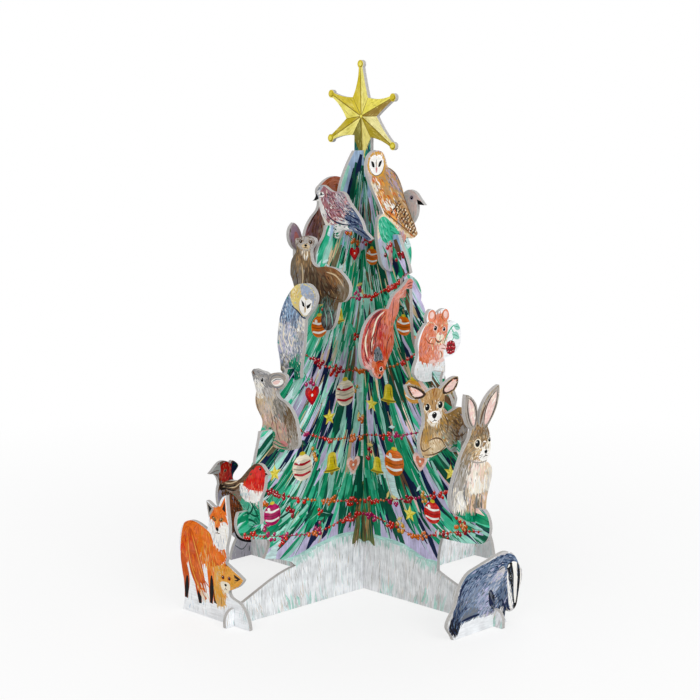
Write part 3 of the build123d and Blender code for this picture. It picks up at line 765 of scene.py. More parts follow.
def paint_fox(card):
    card.field(card.outline, SNOW)
    card.fur(0.16, 5.0, 0.5, [
        (10, 5, 85, FROST, ASH, SKY), (90, 5, 80, ASH, FROST), (50, 5, 95, ASH, SNOW),
    ], card.ring([(3, 1), (8, 10), (50, 9), (90, 14), (98, 1)]))
    for color, runs in (
        (RUST, ([(7, 52), (6, 38), (10, 25), (9, 10)], [(27, 50), (29, 36), (27, 24), (30, 10)])),
        (
            ORANGE,
            ([(44, 55), (45, 40), (47, 26), (46, 12)], [(50, 50), (51, 38), (53, 26), (52, 14)]),
        ),
    ):
        for run in runs:
            card.line(run, 6.0, color, (1.1, 0.5))
    for run in (
        [(11, 28), (10, 18), (9, 10)], [(28, 22), (29, 15), (30, 9)],
        [(47, 34), (47, 22), (46, 12)], [(52.5, 26), (53, 20), (52, 13)],
    ):
        card.line(run, 3.6, INK, (0.4, 0.7))
    card.patch(ORANGE, 0.9, 5.0, 1.0, [
        (2, 48), (3, 60), (8, 70), (18, 74), (30, 72), (44, 68), (52, 62), (64, 60), (68, 52),
        (60, 44), (50, 38), (40, 42), (30, 40), (20, 44), (10, 42),
    ], [
        (5, 55, -85, RUST, ORANGE, RED), (18, 70, -150, RUST, ORANGE),
        (24, 56, -120, ORANGE, AMBER, RUST), (38, 62, -80, ORANGE, AMBER),
        (48, 52, -80, ORANGE, AMBER, RUST), (60, 52, -70, ORANGE, RUST),
        (40, 44, -85, AMBER, SAND, ORANGE),
    ])
    card.patch(RUST, 0.9, 5.0, 1.0, [
        (14, 66), (20, 64), (28, 50), (36, 32), (40, 16), (34, 13), (24, 22), (16, 32), (12, 46),
    ], [
        (15, 55, -85, RUST, RED, ORANGE), (24, 42, -75, RUST, ORANGE),
        (30, 30, -62, ORANGE, AMBER, RUST), (36, 18, -60, PAPER, CREAM, SAND),
    ])
    card.lines(0.8, AMBER, [(19, 62), (26, 48), (34, 32)], [(13, 60), (14, 46), (20, 32), (32, 16)])
    card.patch(AMBER, 0.9, 3.4, 0.8, [
        (52, 16), (50, 30), (53, 42), (60, 44), (66, 47), (72, 45), (82, 41), (94, 39), (86, 32),
        (74, 26), (68, 24), (66, 14), (58, 12),
    ], [
        (56, 32, -85, OCHRE, AMBER, SAND), (60, 18, -90, SAND, OCHRE), (70, 38, -20, ORANGE, AMBER),
        (84, 37, -15, AMBER, OCHRE, RUST), (72, 29, -20, SAND, CREAM),
    ])
    card.shape([(74, 44), (93, 38.5), (77.5, 29.5)], AMBER)
    card.shape([(78.5, 40.5), (88.5, 38.3), (80, 33.5)], SEPIA)
    card.shape([(65.5, 43), (68.5, 53), (74.5, 43)], RUST)
    card.shape([(67.5, 44.5), (69, 50), (72.5, 44)], SEPIA)
    card.patch(AMBER, 0.8, 2.6, 0.7, [
        (58, 40), (66, 44.5), (75, 44), (80, 37), (77, 29), (70, 24.5), (62, 26), (57.5, 32),
    ], [(66, 42, 80, ORANGE, AMBER, OCHRE), (78, 36, 0, AMBER, OCHRE), (60, 34, 170, AMBER, SAND)])
    card.blob([(60, 31), (66, 32.5), (73, 31.5), (73, 26), (67, 24), (61.5, 26.5)], CREAM)
    card.eye(63.5, 35.5, 1.9, RUST)
    card.eye(72.5, 36, 1.9, RUST)
    card.oval(67.2, 30, 2.2, 1.5, INK)
    card.lines(
        0.4, UMBER, [(67.2, 29), (67.2, 27.2), (65, 26.2)], [(67.2, 27.2), (69.5, 26.4)],
        [(60, 22), (61, 16), (60, 12)],
    )
    card.line([(74, 95), (76, 80), (75, 64), (70, 54)], 3.0, SAND, (0.5, 0.2))
    card.patch(PAPER, 0.5, 3.6, 0.7, [
        (45, 78), (46, 86), (52, 89), (60, 90), (67, 86), (71, 78), (71, 66), (66, 58), (56, 57),
        (48, 64),
    ], [
        (50, 66, -100, PAPER, ASH, SNOW), (60, 62, -85, SNOW, PAPER, DUSK),
        (69, 70, -75, CREAM, PAPER),
    ])
    card.patch(ORANGE, 0.9, 2.8, 0.7, [
        (46, 80), (46, 86), (53, 89), (60, 90), (67, 86), (71, 79), (66, 79), (61, 77.5),
        (57.5, 72.5), (54.5, 73), (52, 77),
    ], [
        (50, 84, -110, ORANGE, RUST), (58, 87, 80, RUST, ORANGE, AMBER),
        (66, 82, -70, ORANGE, RUST), (56, 76, -90, AMBER, ORANGE),
    ])
    card.shape([(44, 79), (41, 91.5), (52, 87.5)], STONE)
    card.shape([(45, 83), (43, 89.5), (48.5, 87)], INK)
    card.shape([(59, 88), (67.5, 98.5), (70, 84)], ORANGE)
    card.shape([(63.5, 88.5), (67.5, 95.5), (68, 86.5)], INK)
    for u, v, turn in ((51.5, 79.5, -20), (62, 80, 20)):
        card.oval(u, v, 4.0, 2.3, SEPIA, turn)
        card.oval(u, v, 2.6, 1.8, AMBER)
        card.eye(u, v, 1.5)
    card.blob([(54, 72.5), (56, 73.5), (58, 72), (57, 70.5), (55, 70.5)], INK)
    card.lines(0.5, UMBER, [(56, 70.5), (56, 69), (53, 68.5)], [(56, 69), (60, 68.8)])


def paint_barn_owl(card):
    card.coat(4.0, 0.9, [
        (30, 12, 60, LILAC, MAUVE, AQUA), (55, 5, 100, ASH, LILAC, SLATE),
        (60, 18, 80, ORANGE, MAUVE, LILAC), (50, 50, -60, CREAM, SAND),
    ], 0.5)
    card.patch(TAN, 1.2, 4.2, 1.0, [
        (10, 80), (36, 86), (55, 80), (68, 68), (82, 50), (98, 31), (92, 28), (72, 33), (48, 44),
        (30, 52), (16, 66),
    ], [
        (12, 70, -75, PAPER, CREAM), (28, 76, -60, OCHRE, RUST, AMBER),
        (24, 62, -60, RUST, AMBER, CREAM), (44, 79, -50, STONE, MAUVE, OLIVE),
        (58, 72, -52, SLATE, STONE, MAUVE), (42, 64, -50, OCHRE, RUST, TAN),
        (38, 57, -50, PAPER, ASH, CREAM), (60, 58, -50, SAND, TAN, CHESTNUT),
        (45, 49, -50, AMBER, RUST), (72, 44, -50, TAN, SAND, CHESTNUT),
        (88, 32, -50, TAN, SAND, CHESTNUT),
    ])
    for row in range(11):
        for k in range(6):
            along = row / 10
            aside = (k + 0.5 * (row % 2)) / 6
            u = 49 + 40 * along + (15 - 7 * along) * aside + card.chance.gauss(0, 0.8)
            v = 49 - 19 * along + (10 - 5 * along) * aside + card.chance.gauss(0, 0.4)
            wide = card.chance.uniform(1.2, 2.3)
            spot = card.tint(card.chance.choice((SEPIA, CHESTNUT, UMBER)), 0.15)
            card.oval(u, v, wide, 1.1, spot, 40, 7)
            if card.chance.random() < 0.6:
                card.oval(u + 2.4, v - 1.2, 1.5, 0.8, CREAM, -50, 6)
    card.lines(
        0.7, UMBER, [(40, 86), (56, 80), (68, 68)], [(66, 68), (80, 52), (97, 31)],
        [(22, 58), (36, 49), (60, 40), (92, 27.5)], [(50, 60), (66, 50), (84, 36)],
    )
    card.line([(14, 66), (25, 54), (33, 48)], 2.2, PAPER)
    card.patch(JADE, 0.8, 3.6, 0.9, [
        (22, 42), (32, 46), (44, 42), (56, 36), (66, 27), (50, 27), (36, 24), (26, 30),
    ], [(30, 38, -60, JADE, AQUA, LEAF), (52, 34, -40, LEAF, PINE, JADE)])
    card.lines(1.2, LEAF, [(30, 22), (40, 12), (44, 2)], [(60, 24), (52, 14), (50, 3)])
    for u, v, color in (
        (40, 20, CRIMSON), (50, 17, MAGENTA), (46, 22, CRIMSON), (58, 19, MAROON), (36, 14, MAROON),
        (56, 11, CRIMSON),
    ):
        card.berry(u, v, 3.0, color)
    card.patch(OCHRE, 0.5, 2.0, 0.7, [
        (1, 88), (6, 96), (18, 99), (29, 97), (35, 91), (34, 84), (27, 79), (14, 79), (5, 82),
    ], [(5, 92, 120, OCHRE, TAN), (30, 92, 60, TAN, OCHRE, AMBER)])
    card.patch(PAPER, 0.3, 2.2, 0.5, [
        (4, 88), (7, 94), (14, 96.5), (18.5, 95.5), (24, 96.5), (30, 93), (32, 87), (27, 82),
        (18, 79.5), (8, 82),
    ], [(10, 92, 110, SNOW, ASH), (27, 92, 70, SNOW, CREAM)])
    card.lines(
        0.5, UMBER, [(4, 88), (9, 82), (18, 79.5), (28, 82), (32.5, 88)],
        [(18.5, 93), (17.5, 88), (18, 82)],
    )
    card.blob([(8, 91.2), (12.5, 90.5), (14.2, 86.8), (10.5, 86.8)], INK)
    card.blob([(28.5, 91.8), (23.5, 90.5), (21.5, 86.8), (25.2, 87.2)], INK)
    card.blob([(16.5, 86), (19.5, 86), (19, 83), (17.8, 82), (16.8, 83.5)], ROSE)


def paint_squirrel(card):
    card.coat(4.0, 0.9, [
        (92, 92, -160, CORAL, ROSE), (78, 88, -150, CORAL, ROSE, BLUSH),
        (66, 74, -100, CORAL, ROSE), (56, 60, -95, CORAL, RUST, ROSE),
        (54, 40, -90, ROSE, CORAL, RUST), (42, 45, -90, RUST, CRIMSON, ROSE),
        (40, 28, -90, RUST, RED, ROSE), (36, 8, -85, RUST, CORAL, CRIMSON),
        (30, 66, -170, CRIMSON, MAROON, ROSE), (12, 52, -110, CRIMSON, ROSE, CORAL),
        (6, 32, -80, ROSE, CORAL, CRIMSON), (16, 18, -40, ROSE, BLUSH),
        (22, 40, -95, ROSE, RUST, MAROON), (90, 80, -90, PINE, LEAF),
    ])
    card.lines(1.3, CREAM, [(44, 69), (30, 62), (22, 46), (20, 32)], [(14, 56), (8, 40), (12, 24)])
    card.lines(
        0.9, MAROON, [(46, 67), (34, 58), (28, 44), (26, 30)], [(40, 70), (20, 62), (8, 46)],
        [(26, 50), (18, 38), (19, 26)], [(6, 36), (9, 24), (16, 16)],
    )
    card.blob([(24, 28), (32, 34), (40, 26), (38, 19), (28, 18)], SLATE)
    card.fur(0.8, 2.4, 0.7, [
        (30, 26, -80, DENIM, PINE, ASH, INK),
    ], card.ring([(23, 28), (30, 36), (41, 26), (38, 18), (27, 17)]))
    card.patch(RUST, 0.8, 2.2, 0.7, [
        (25, 15), (34, 19), (46, 17), (48, 10), (42, 4), (36, 1), (30, 3),
    ], [(36, 14, -90, RUST, CORAL, RED), (36, 4, -90, CORAL, BLUSH)])
    card.blob([(22, 20), (20, 14), (26, 12), (28, 17)], CORAL)
    card.blob([(47, 20), (52, 16), (48, 12), (43, 16)], CORAL)
    card.lines(
        0.6, MAROON, [(62, 80), (60, 68), (58, 54)], [(58, 44), (50, 36), (48, 24)],
        [(30, 16), (36, 18), (43, 16)],
    )
    for v in (95.5, 92.5, 89.5):
        card.line([(88, v - 1), (93, v), (98.5, v + 0.5)], 0.6, MAROON)
    card.lines(1.4, LEAF, [(98, 88), (94, 83), (92, 78)], [(90, 82), (86, 80), (78, 79)])
    card.eye(38, 10, 2.2, BLUSH)
    card.oval(35.5, 3.5, 2.2, 1.6, SEPIA)


def paint_harvest_mouse(card):
    card.field(card.outline, SNOW)
    card.fur(0.3, 3.0, 0.5, [
        (30, 10, 80, SNOW, ASH, FROST), (50, 10, 95, ASH, SAND),
    ], card.ring([(3, 20), (60, 22), (62, 2), (8, 4)]))
    card.patch(CORAL, 1.0, 2.8, 0.8, [
        (10, 36), (10, 54), (18, 72), (30, 84), (46, 92), (62, 90), (70, 78), (68, 58), (62, 48),
        (60, 32), (50, 25), (28, 26), (16, 29),
    ], [
        (16, 50, -95, ROSE, RUST, ROSE), (28, 74, -130, CORAL, ROSE, RUST),
        (24, 36, -75, RUST, CORAL, RUST), (45, 86, 90, CORAL, RUST, ROSE),
        (56, 76, 90, TAN, CORAL, RUST), (40, 66, -140, CORAL, RUST, ROSE),
        (44, 40, -90, BLUSH, ROSE, CORAL), (58, 42, -80, CREAM, BLUSH), (52, 62, -60, CREAM, SAND),
        (66, 74, -60, CORAL, SAND),
    ])
    for ear, inner in (
        (
            [(29, 86), (29, 95), (36, 99), (43, 96), (44, 88), (36, 83)],
            [(32, 89), (33, 95), (38, 96.5), (41, 91), (37, 87)],
        ),
        (
            [(58, 89), (59, 95), (66, 98), (72, 93), (72, 85), (65, 82)],
            [(61, 90), (64, 95.5), (69, 93), (69, 87), (65, 85)],
        ),
    ):
        card.blob(ear, CORAL)
        card.blob(inner, BLUSH)
    card.lines(
        0.6, CHESTNUT, [(43, 96), (44, 90), (42, 84)], [(59, 94), (58, 88), (60, 83)],
        [(22, 62), (30, 54), (42, 51)], [(54, 42), (58, 34), (54, 29)],
    )
    card.blob([(46, 63), (52, 66.5), (59, 64), (60, 58), (54, 55), (47, 57.5)], CREAM)
    card.lines(0.8, SEPIA, [(43, 60), (47, 54.5), (53, 53), (58, 56)])
    card.oval(54.5, 64.5, 2.6, 1.8, ROSE)
    card.lines(0.4, SEPIA, [(54.5, 63), (54, 59), (53, 54.5)])
    card.eye(44, 73, 2.7, BLUSH)
    card.eye(62.5, 70, 2.2, BLUSH)
    card.lines(0.3, ASH, [(58, 61), (66, 64), (71, 67)], [(46, 60), (38, 61), (31, 60)])
    card.lines(0.9, JADE, [(62, 50), (70, 62), (80, 72), (90, 74)], [(78, 70), (84, 60), (80, 52)])
    for leaf in (
        [(84, 72), (92, 76), (97, 68), (90, 66)], [(80, 62), (90, 64), (96, 54), (86, 54)],
    ):
        card.blob(leaf, AQUA)
    card.lines(0.4, LEAF, [(84, 72), (90, 71), (96, 69)], [(81, 61), (88, 59), (95, 55)])
    card.oval(77, 43, 8.4, 8.4, MAROON)
    for u, v in (
        (71, 49), (77, 50), (83, 48), (69, 43), (75, 43), (81, 43), (85, 42), (72, 37), (78, 36),
        (83, 37),
    ):
        card.berry(u, v, 2.3, CRIMSON)
    card.blob([(52, 46), (60, 50), (68, 47), (66, 42), (56, 40)], BLUSH)
    card.lines(0.5, CHESTNUT, [(60, 49), (66, 46), (67, 43)], [(56, 44), (62, 43), (66, 41)])
    card.blob([(30, 27), (38, 30), (46, 27), (38, 24)], BLUSH)
    card.blob([(50, 27), (57, 30), (64, 27), (57, 24)], BLUSH)


def paint_fawn(card):
    card.coat(3.6, 0.9, [
        (33, 34, -90, OCHRE, TAN, OLIVE), (42, 40, -90, TAN, OLIVE, SAND), (30, 12, -60, SAND, TAN),
        (50, 22, -80, SAND, CREAM, TAN), (62, 40, -30, TAN, OLIVE, OCHRE),
        (76, 50, -25, TAN, OCHRE, OLIVE), (92, 44, -70, UMBER, OLIVE, TAN),
        (84, 26, -80, UMBER, SEPIA, TAN), (68, 26, -40, STONE, SAND, OLIVE),
        (96, 14, -80, STONE, ASH), (50, 6, -10, CREAM, SAND), (78, 5, 30, AQUA, STONE, LILAC),
    ])
    card.patch(TAN, 0.9, 2.8, 0.8, [
        (27, 76), (32, 86), (44, 89), (56, 86), (60, 76), (58, 62), (52, 46), (44, 42), (36, 46),
        (30, 60),
    ], [
        (44, 84, 90, OCHRE, CHESTNUT, TAN), (32, 76, 120, SAND, TAN), (56, 76, 60, SAND, TAN),
        (44, 68, 90, TAN, UMBER), (34, 56, -100, CREAM, PAPER), (54, 56, -80, CREAM, PAPER),
        (44, 46, -90, PAPER, CREAM),
    ])
    for ear, inner in (
        (
            [(1, 98.5), (13, 96), (24, 90), (30, 84), (25, 80), (14, 80), (6, 87)],
            [(5, 95.5), (14, 93), (25, 85), (22, 82.5), (13, 83), (8, 88)],
        ),
        (
            [(57, 86), (62, 92), (72, 97.5), (81, 98.5), (81, 90), (75, 83), (66, 80), (58, 80)],
            [(60, 86), (70, 94), (78.5, 96), (78.5, 90), (73, 84), (63, 81.5)],
        ),
    ):
        card.blob(ear, SEPIA)
        card.blob(inner, BLUSH)
        card.fur(0.5, 3.0, 0.7, [
            (15, 88, 150, BLUSH, CORAL, CREAM), (70, 90, 35, BLUSH, CORAL, CREAM),
        ], card.ring(inner))
    for u in (32.5, 53.5):
        card.blob([(u - 5.6, 65.5), (u, 71.5), (u + 5.6, 66), (u, 61)], CREAM)
        card.eye(u, 66.5, 3.9)
    card.blob([(34, 52), (36, 58), (44, 60), (52, 58), (54, 50), (44, 44)], PAPER)
    card.blob([(40, 55.5), (44, 58.5), (48, 55.5), (46.5, 51.5), (44, 50), (41.5, 51.5)], INK)
    card.lines(0.5, SEPIA, [(44, 50), (44, 47.5), (40, 46.5)], [(44, 47.5), (48, 46.5)])
    card.lines(0.35, PAPER, [(42.5, 56), (43.5, 57), (45, 56.5)])
    card.lines(
        0.9, UMBER, [(24, 30), (23, 16), (28, 10), (40, 14)],
        [(35, 22), (46, 24), (56, 20), (62, 10)], [(28, 5), (42, 3), (56, 6), (64, 12)],
        [(60, 52), (66, 40), (64, 26)], [(72, 34), (78, 22), (90, 20), (96, 24)],
        [(26, 44), (25, 34), (24, 26)],
    )
    for u, v in ((70, 50), (76, 47), (83, 51), (89, 46), (73, 42), (81, 43), (88, 37), (94, 38)):
        card.oval(u, v, 1.3, 0.8, SAND, -20, 8)
    card.lines(1.0, LEAF, [(70, 6), (80, 9), (92, 5)], [(74, 12), (84, 4)])
    card.lines(0.9, SEPIA, [(49, 4.5), (53, 3), (56, 4.5)], [(24, 4.5), (28, 2)])


def paint_hare(card):
    card.coat(4.2, 1.0, [
        (34, 90, 95, STONE, ASH, OLIVE), (40, 76, 95, STONE, OLIVE),
        (70, 84, 70, STONE, OLIVE, SAND), (46, 66, 60, OLIVE, TAN, STONE),
        (64, 66, 80, OLIVE, TAN, UMBER), (40, 55, -140, TAN, OLIVE, STONE),
        (30, 46, -110, STONE, ASH, OLIVE), (14, 34, -105, STONE, ASH, OLIVE),
        (8, 22, -90, ASH, STONE), (70, 52, -90, PAPER, CREAM), (48, 40, -95, PAPER, CREAM, BLUSH),
        (70, 36, -90, BLUSH, SAND, CREAM), (56, 28, -90, PAPER, CREAM), (80, 30, -85, CREAM, ASH),
        (20, 18, -80, PAPER, ASH, CREAM), (46, 14, -90, SAND, BLUSH, TAN),
        (70, 14, -90, SAND, BLUSH, TAN), (58, 14, -90, OLIVE, STONE),
    ])
    for ear, inner in (
        (
            [(41, 71), (33, 78), (29, 87), (31, 95.5), (44, 92.5), (53, 85), (53, 77), (50, 71)],
            [(46, 73), (39, 79), (35.5, 87), (36, 93), (43, 90.5), (48, 84), (49, 77)],
        ),
        (
            [(58, 72), (62, 80), (70, 88), (84, 95), (98, 98.5), (96.5, 88), (88, 79), (75, 71)],
            [(69, 73), (71, 81), (79, 89), (93, 95.5), (92, 88), (85, 80), (75, 73)],
        ),
    ):
        card.blob(ear, STONE)
        card.blob(inner, BLUSH)
        card.fur(0.5, 3.6, 0.8, [
            (42, 80, 95, PAPER, BLUSH, CREAM), (80, 85, 62, PAPER, CREAM, BLUSH),
        ], card.ring(inner))
    card.lines(
        0.7, SEPIA, [(34, 94.5), (44, 91), (51, 84), (51, 76), (48, 72)],
        [(35, 93), (33.5, 86), (37, 78), (44, 72)], [(68, 72), (70, 81), (79, 90), (95, 96.5)],
        [(76, 72), (86, 79), (94, 87), (96, 96)],
    )
    card.lines(1.6, UMBER, [(60, 73), (64, 80), (72, 87)], [(53, 71), (56, 73)])
    head = card.ring([
        (38, 56), (42, 66), (52, 71), (68, 71), (79, 65), (81, 56), (72, 48), (52, 47),
    ])
    card.fur(0.9, 2.8, 0.8, [
        (42, 54, -150, TAN, OLIVE, SAND), (56, 67, 80, OLIVE, TAN, UMBER),
        (72, 66, 60, STONE, OLIVE), (60, 52, -160, SAND, TAN), (74, 55, -90, SAND, STONE),
    ], head)
    card.blob([(60, 50.5), (66, 53.5), (74, 53), (80, 50), (77, 45.5), (66, 45), (58, 47.5)], PAPER)
    card.blob([(69.5, 51.5), (73, 53), (76, 51.5), (73, 50)], INK)
    card.lines(0.5, SEPIA, [(73, 50.5), (72, 48.5), (66, 47.5)], [(72, 48.5), (77, 48)])
    card.lines(0.3, SEPIA, [(66, 50), (62, 49.5), (56, 50)], [(66, 49), (62, 48), (57, 47.5)])
    card.lines(0.9, STONE, [(36, 49), (48, 45.5), (64, 44), (76, 45)])
    card.eye(55, 59, 4.0, CREAM)
    card.eye(80, 60, 2.4, CREAM)
    card.lines(
        0.8, SLATE, [(14, 42), (5, 32), (3, 20)], [(34, 34), (28, 24), (34, 14)],
        [(44, 22), (40, 12), (42, 5)], [(55, 22), (54, 12), (52, 5)], [(66, 22), (64, 12), (66, 5)],
        [(80, 22), (78, 12), (77, 5)],
    )
    card.lines(
        1.0, PAPER, [(48, 34), (50, 28), (48, 24)], [(60, 34), (60, 27), (62, 23)],
        [(72, 34), (70, 28), (70, 23)], [(14, 24), (18, 18), (26, 14)],
    )
    card.fur(1.2, 3.4, 0.9, [
        (20, 5, 80, LEAF, PINE, JADE), (70, 3, 95, JADE, LEAF, PINE),
    ], card.shape([(10, 10), (24, 7.5), (50, 5), (74, 5), (74, 0), (39, 0), (22, 5)], LEAF))


def paint_badger(card):
    card.fur(0.35, 4.0, 0.7, [(30, 8, 80, SNOW, ASH, FROST), (80, 5, 85, SNOW, ASH)])
    card.blob([(6, 0), (16, 20), (50, 18), (80, 14), (80, 0), (40, -2)], SNOW)
    body = card.blob([
        (5, 10), (2, 20), (10, 40), (15, 62), (22, 77), (36, 87), (52, 92), (76, 97), (87, 92),
        (94, 80), (90, 40), (80, 16), (74, 10), (74, 24), (60, 22), (40, 22), (18, 20), (14, 8),
    ], DENIM)
    for place, wide, high, turn, color in (
        ((40, 80), 34, 8, 12, (0.34, 0.43, 0.53)), ((70, 86), 22, 7, -8, (0.33, 0.42, 0.52)),
        ((34, 50), 20, 14, 20, (0.44, 0.51, 0.62)), ((50, 40), 12, 15, 80, DUSK),
        ((62, 58), 14, 8, 30, (0.52, 0.58, 0.68)), ((30, 28), 18, 5, 5, SLATE),
        ((12, 40), 6, 16, -12, (0.22, 0.29, 0.4)), ((75, 50), 8, 16, 5, DENIM),
        ((70, 72), 9, 6, 40, ASH),
    ):
        card.oval(*place, wide, high, color, turn)
    card.fur(1.5, 3.6, 0.9, [
        (12, 44, -105, NAVY, SLATE, DENIM), (26, 72, -140, DENIM, NAVY, DUSK),
        (44, 82, -165, DENIM, NAVY, DUSK), (66, 88, -178, DENIM, NAVY, DUSK),
        (84, 86, 155, DENIM, NAVY, DUSK), (34, 50, -145, DENIM, DUSK, SLATE),
        (48, 44, -140, DUSK, LILAC, DENIM), (62, 58, -150, DUSK, ASH, DENIM),
        (32, 28, -165, SLATE, DENIM), (52, 30, -150, LILAC, DUSK, SLATE),
        (75, 46, -105, DENIM, SLATE, NAVY), (8, 20, -100, NAVY, INK),
        (76, 20, -100, NAVY, INK, SLATE), (70, 70, -160, ASH, DUSK, LILAC),
    ], body)
    card.fur(1.0, 4.0, 1.2, [
        (58, 40, -70, NAVY, INK, SLATE),
    ], card.blob([(54, 50), (58, 52), (62, 40), (60, 30), (55, 32)], NAVY))
    card.lines(
        1.6, NAVY, [(18, 22), (30, 23.5), (42, 24)], [(15, 52), (18, 66), (26, 78)],
        [(72, 36), (76, 22), (80, 10)], [(80, 34), (80, 22), (84, 15)],
    )
    card.lines(
        1.2, INK, [(5, 30), (4, 18), (9, 6)], [(10, 26), (10, 14), (14, 7)],
        [(74, 18), (74, 9), (77, 4)],
    )
    for side in (0, 4):
        card.lines(0.5, INK, [(5 + side, 9), (5.5 + side, 5)], [(74 + side, 6), (75.5 + side, 3)])
    card.blob([
        (80, 74), (86, 83), (93, 79), (97, 70), (98.5, 55), (95.5, 36), (92, 20), (87, 16),
        (82, 24), (80, 44), (79, 60),
    ], PAPER)
    card.fur(0.3, 3.2, 0.6, [
        (86, 40, -85, SNOW, ASH, DUSK),
    ], card.ring([(80, 70), (90, 76), (96, 50), (90, 22), (82, 30)]))
    card.blob([
        (80, 76), (84.5, 83), (87.5, 72), (88.5, 55), (89.5, 38), (90, 22), (88, 24), (86, 38),
        (83.5, 52), (81, 64),
    ], INK)
    card.blob([
        (92.5, 79), (96, 73), (97.2, 58), (95.5, 40), (92.5, 21), (91, 24), (92.5, 42), (93.5, 60),
    ], INK)
    card.fur(0.25, 3.2, 0.5, [
        (84, 60, -80, NAVY, SLATE, DENIM), (95, 50, -95, NAVY, SLATE, DENIM),
    ], card.ring([(80, 72), (86, 80), (96, 74), (96, 45), (92, 25), (88, 25), (83, 50)]))
    card.line([(88.5, 80), (90.5, 62), (90.5, 42), (90.5, 24)], 3.2, PAPER, (1.1, 0.3))
    card.blob([(78.5, 74), (80, 81.5), (84, 82), (83.5, 76)], INK)
    card.blob([(79.5, 76), (80.5, 80), (82.5, 80.5), (82.2, 77.5)], PAPER)
    card.blob([(88, 20), (90.5, 23.5), (93, 21), (91, 15.5), (88.5, 16)], INK)
    card.eye(84.5, 62, 2.0, SLATE)


def paint_red_squirrel(card):
    card.coat(3.6, 0.9, [
        (55, 92, 30, RUST, ROSE, CORAL), (86, 86, -60, RUST, CORAL, CHESTNUT),
        (36, 80, 80, RUST, ROSE, CHESTNUT), (72, 62, -80, CHESTNUT, RUST),
        (42, 55, -100, ROSE, CHESTNUT, ROSE), (20, 40, -110, ROSE, CHESTNUT, MAUVE),
        (24, 18, -80, MAROON, ROSE, MAUVE), (56, 30, -90, CREAM, BLUSH, CORAL),
        (84, 34, -80, RUST, CHESTNUT),
    ])
    card.lines(0.9, CORAL, [(42, 86), (60, 94), (80, 93), (93, 82)], [(38, 74), (44, 60), (56, 52)])
    card.lines(
        0.8, SEPIA, [(34, 62), (18, 48), (6, 34)], [(50, 46), (42, 30), (48, 12)],
        [(66, 50), (62, 36), (70, 24)],
    )


def paint_rabbit(card):
    card.coat(3.2, 0.9, [
        (10, 86, 100, ASH, MAUVE, STONE), (24, 74, 100, STONE, MAUVE),
        (44, 72, 80, STONE, MAUVE, OLIVE), (34, 56, -90, STONE, SAND, ASH),
        (24, 40, -95, OLIVE, STONE, UMBER), (28, 16, -95, OLIVE, UMBER),
        (50, 40, -80, STONE, OLIVE, UMBER), (74, 34, -50, OLIVE, UMBER, STONE),
        (92, 14, -75, UMBER, OLIVE), (60, 12, -70, SAND, STONE),
    ])
    card.blob([(7, 74), (6, 88), (13, 95), (21, 88), (27, 76), (22, 69)], MAUVE)
    card.blob([(13, 74), (14, 86), (20, 85), (25, 75), (21, 71)], ROSE)
    card.blob([(38, 66), (42, 76), (49, 77), (50, 68)], ROSE)
    card.blob([(24, 52), (34, 56), (46, 52), (44, 44), (34, 41), (26, 44)], PAPER)
    card.oval(34, 52.5, 2.2, 1.5, ROSE)
    card.lines(0.4, SEPIA, [(34, 51), (34, 48.5), (30, 47)], [(34, 48.5), (38, 47)])
    card.eye(25, 60, 2.2, SAND)
    card.eye(44, 60, 2.2, SAND)
    card.lines(
        0.7, SEPIA, [(22, 40), (26, 26), (24, 10)], [(44, 36), (44, 20), (40, 6)],
        [(60, 40), (56, 24), (68, 10), (84, 8)],
    )


def paint_wren(card):
    card.coat(2.4, 0.7, [
        (20, 76, -30, CHESTNUT, TAN, UMBER), (40, 72, -40, CHESTNUT, UMBER),
        (24, 48, -80, SAND, CREAM), (44, 40, -60, SAND, TAN), (60, 58, -30, TAN, CHESTNUT),
        (86, 84, 60, UMBER, CHESTNUT), (50, 12, 90, LEAF, JADE, PINE),
    ])
    card.lines(
        0.7, SEPIA,
        *[
            [(42 + 10 * k, 66 - 5 * k), (47 + 10 * k, 58 - 4 * k), (46 + 10 * k, 50 - 3 * k)]
            for k in range(4)
        ],
    )
    card.lines(
        0.7, SEPIA, *[[(72 + 6 * k, 80 + 6 * k), (80 + 5 * k, 74 + 6 * k)] for k in range(4)],
    )
    card.lines(0.8, CREAM, [(10, 72), (20, 77), (34, 76)])
    card.shape([(0, 66), (10, 72), (12, 66)], SEPIA)
    card.lines(0.5, SEPIA, [(42, 30), (40, 16), (42, 4)], [(52, 28), (54, 14), (54, 4)])
    card.eye(19, 71, 1.5, SAND)


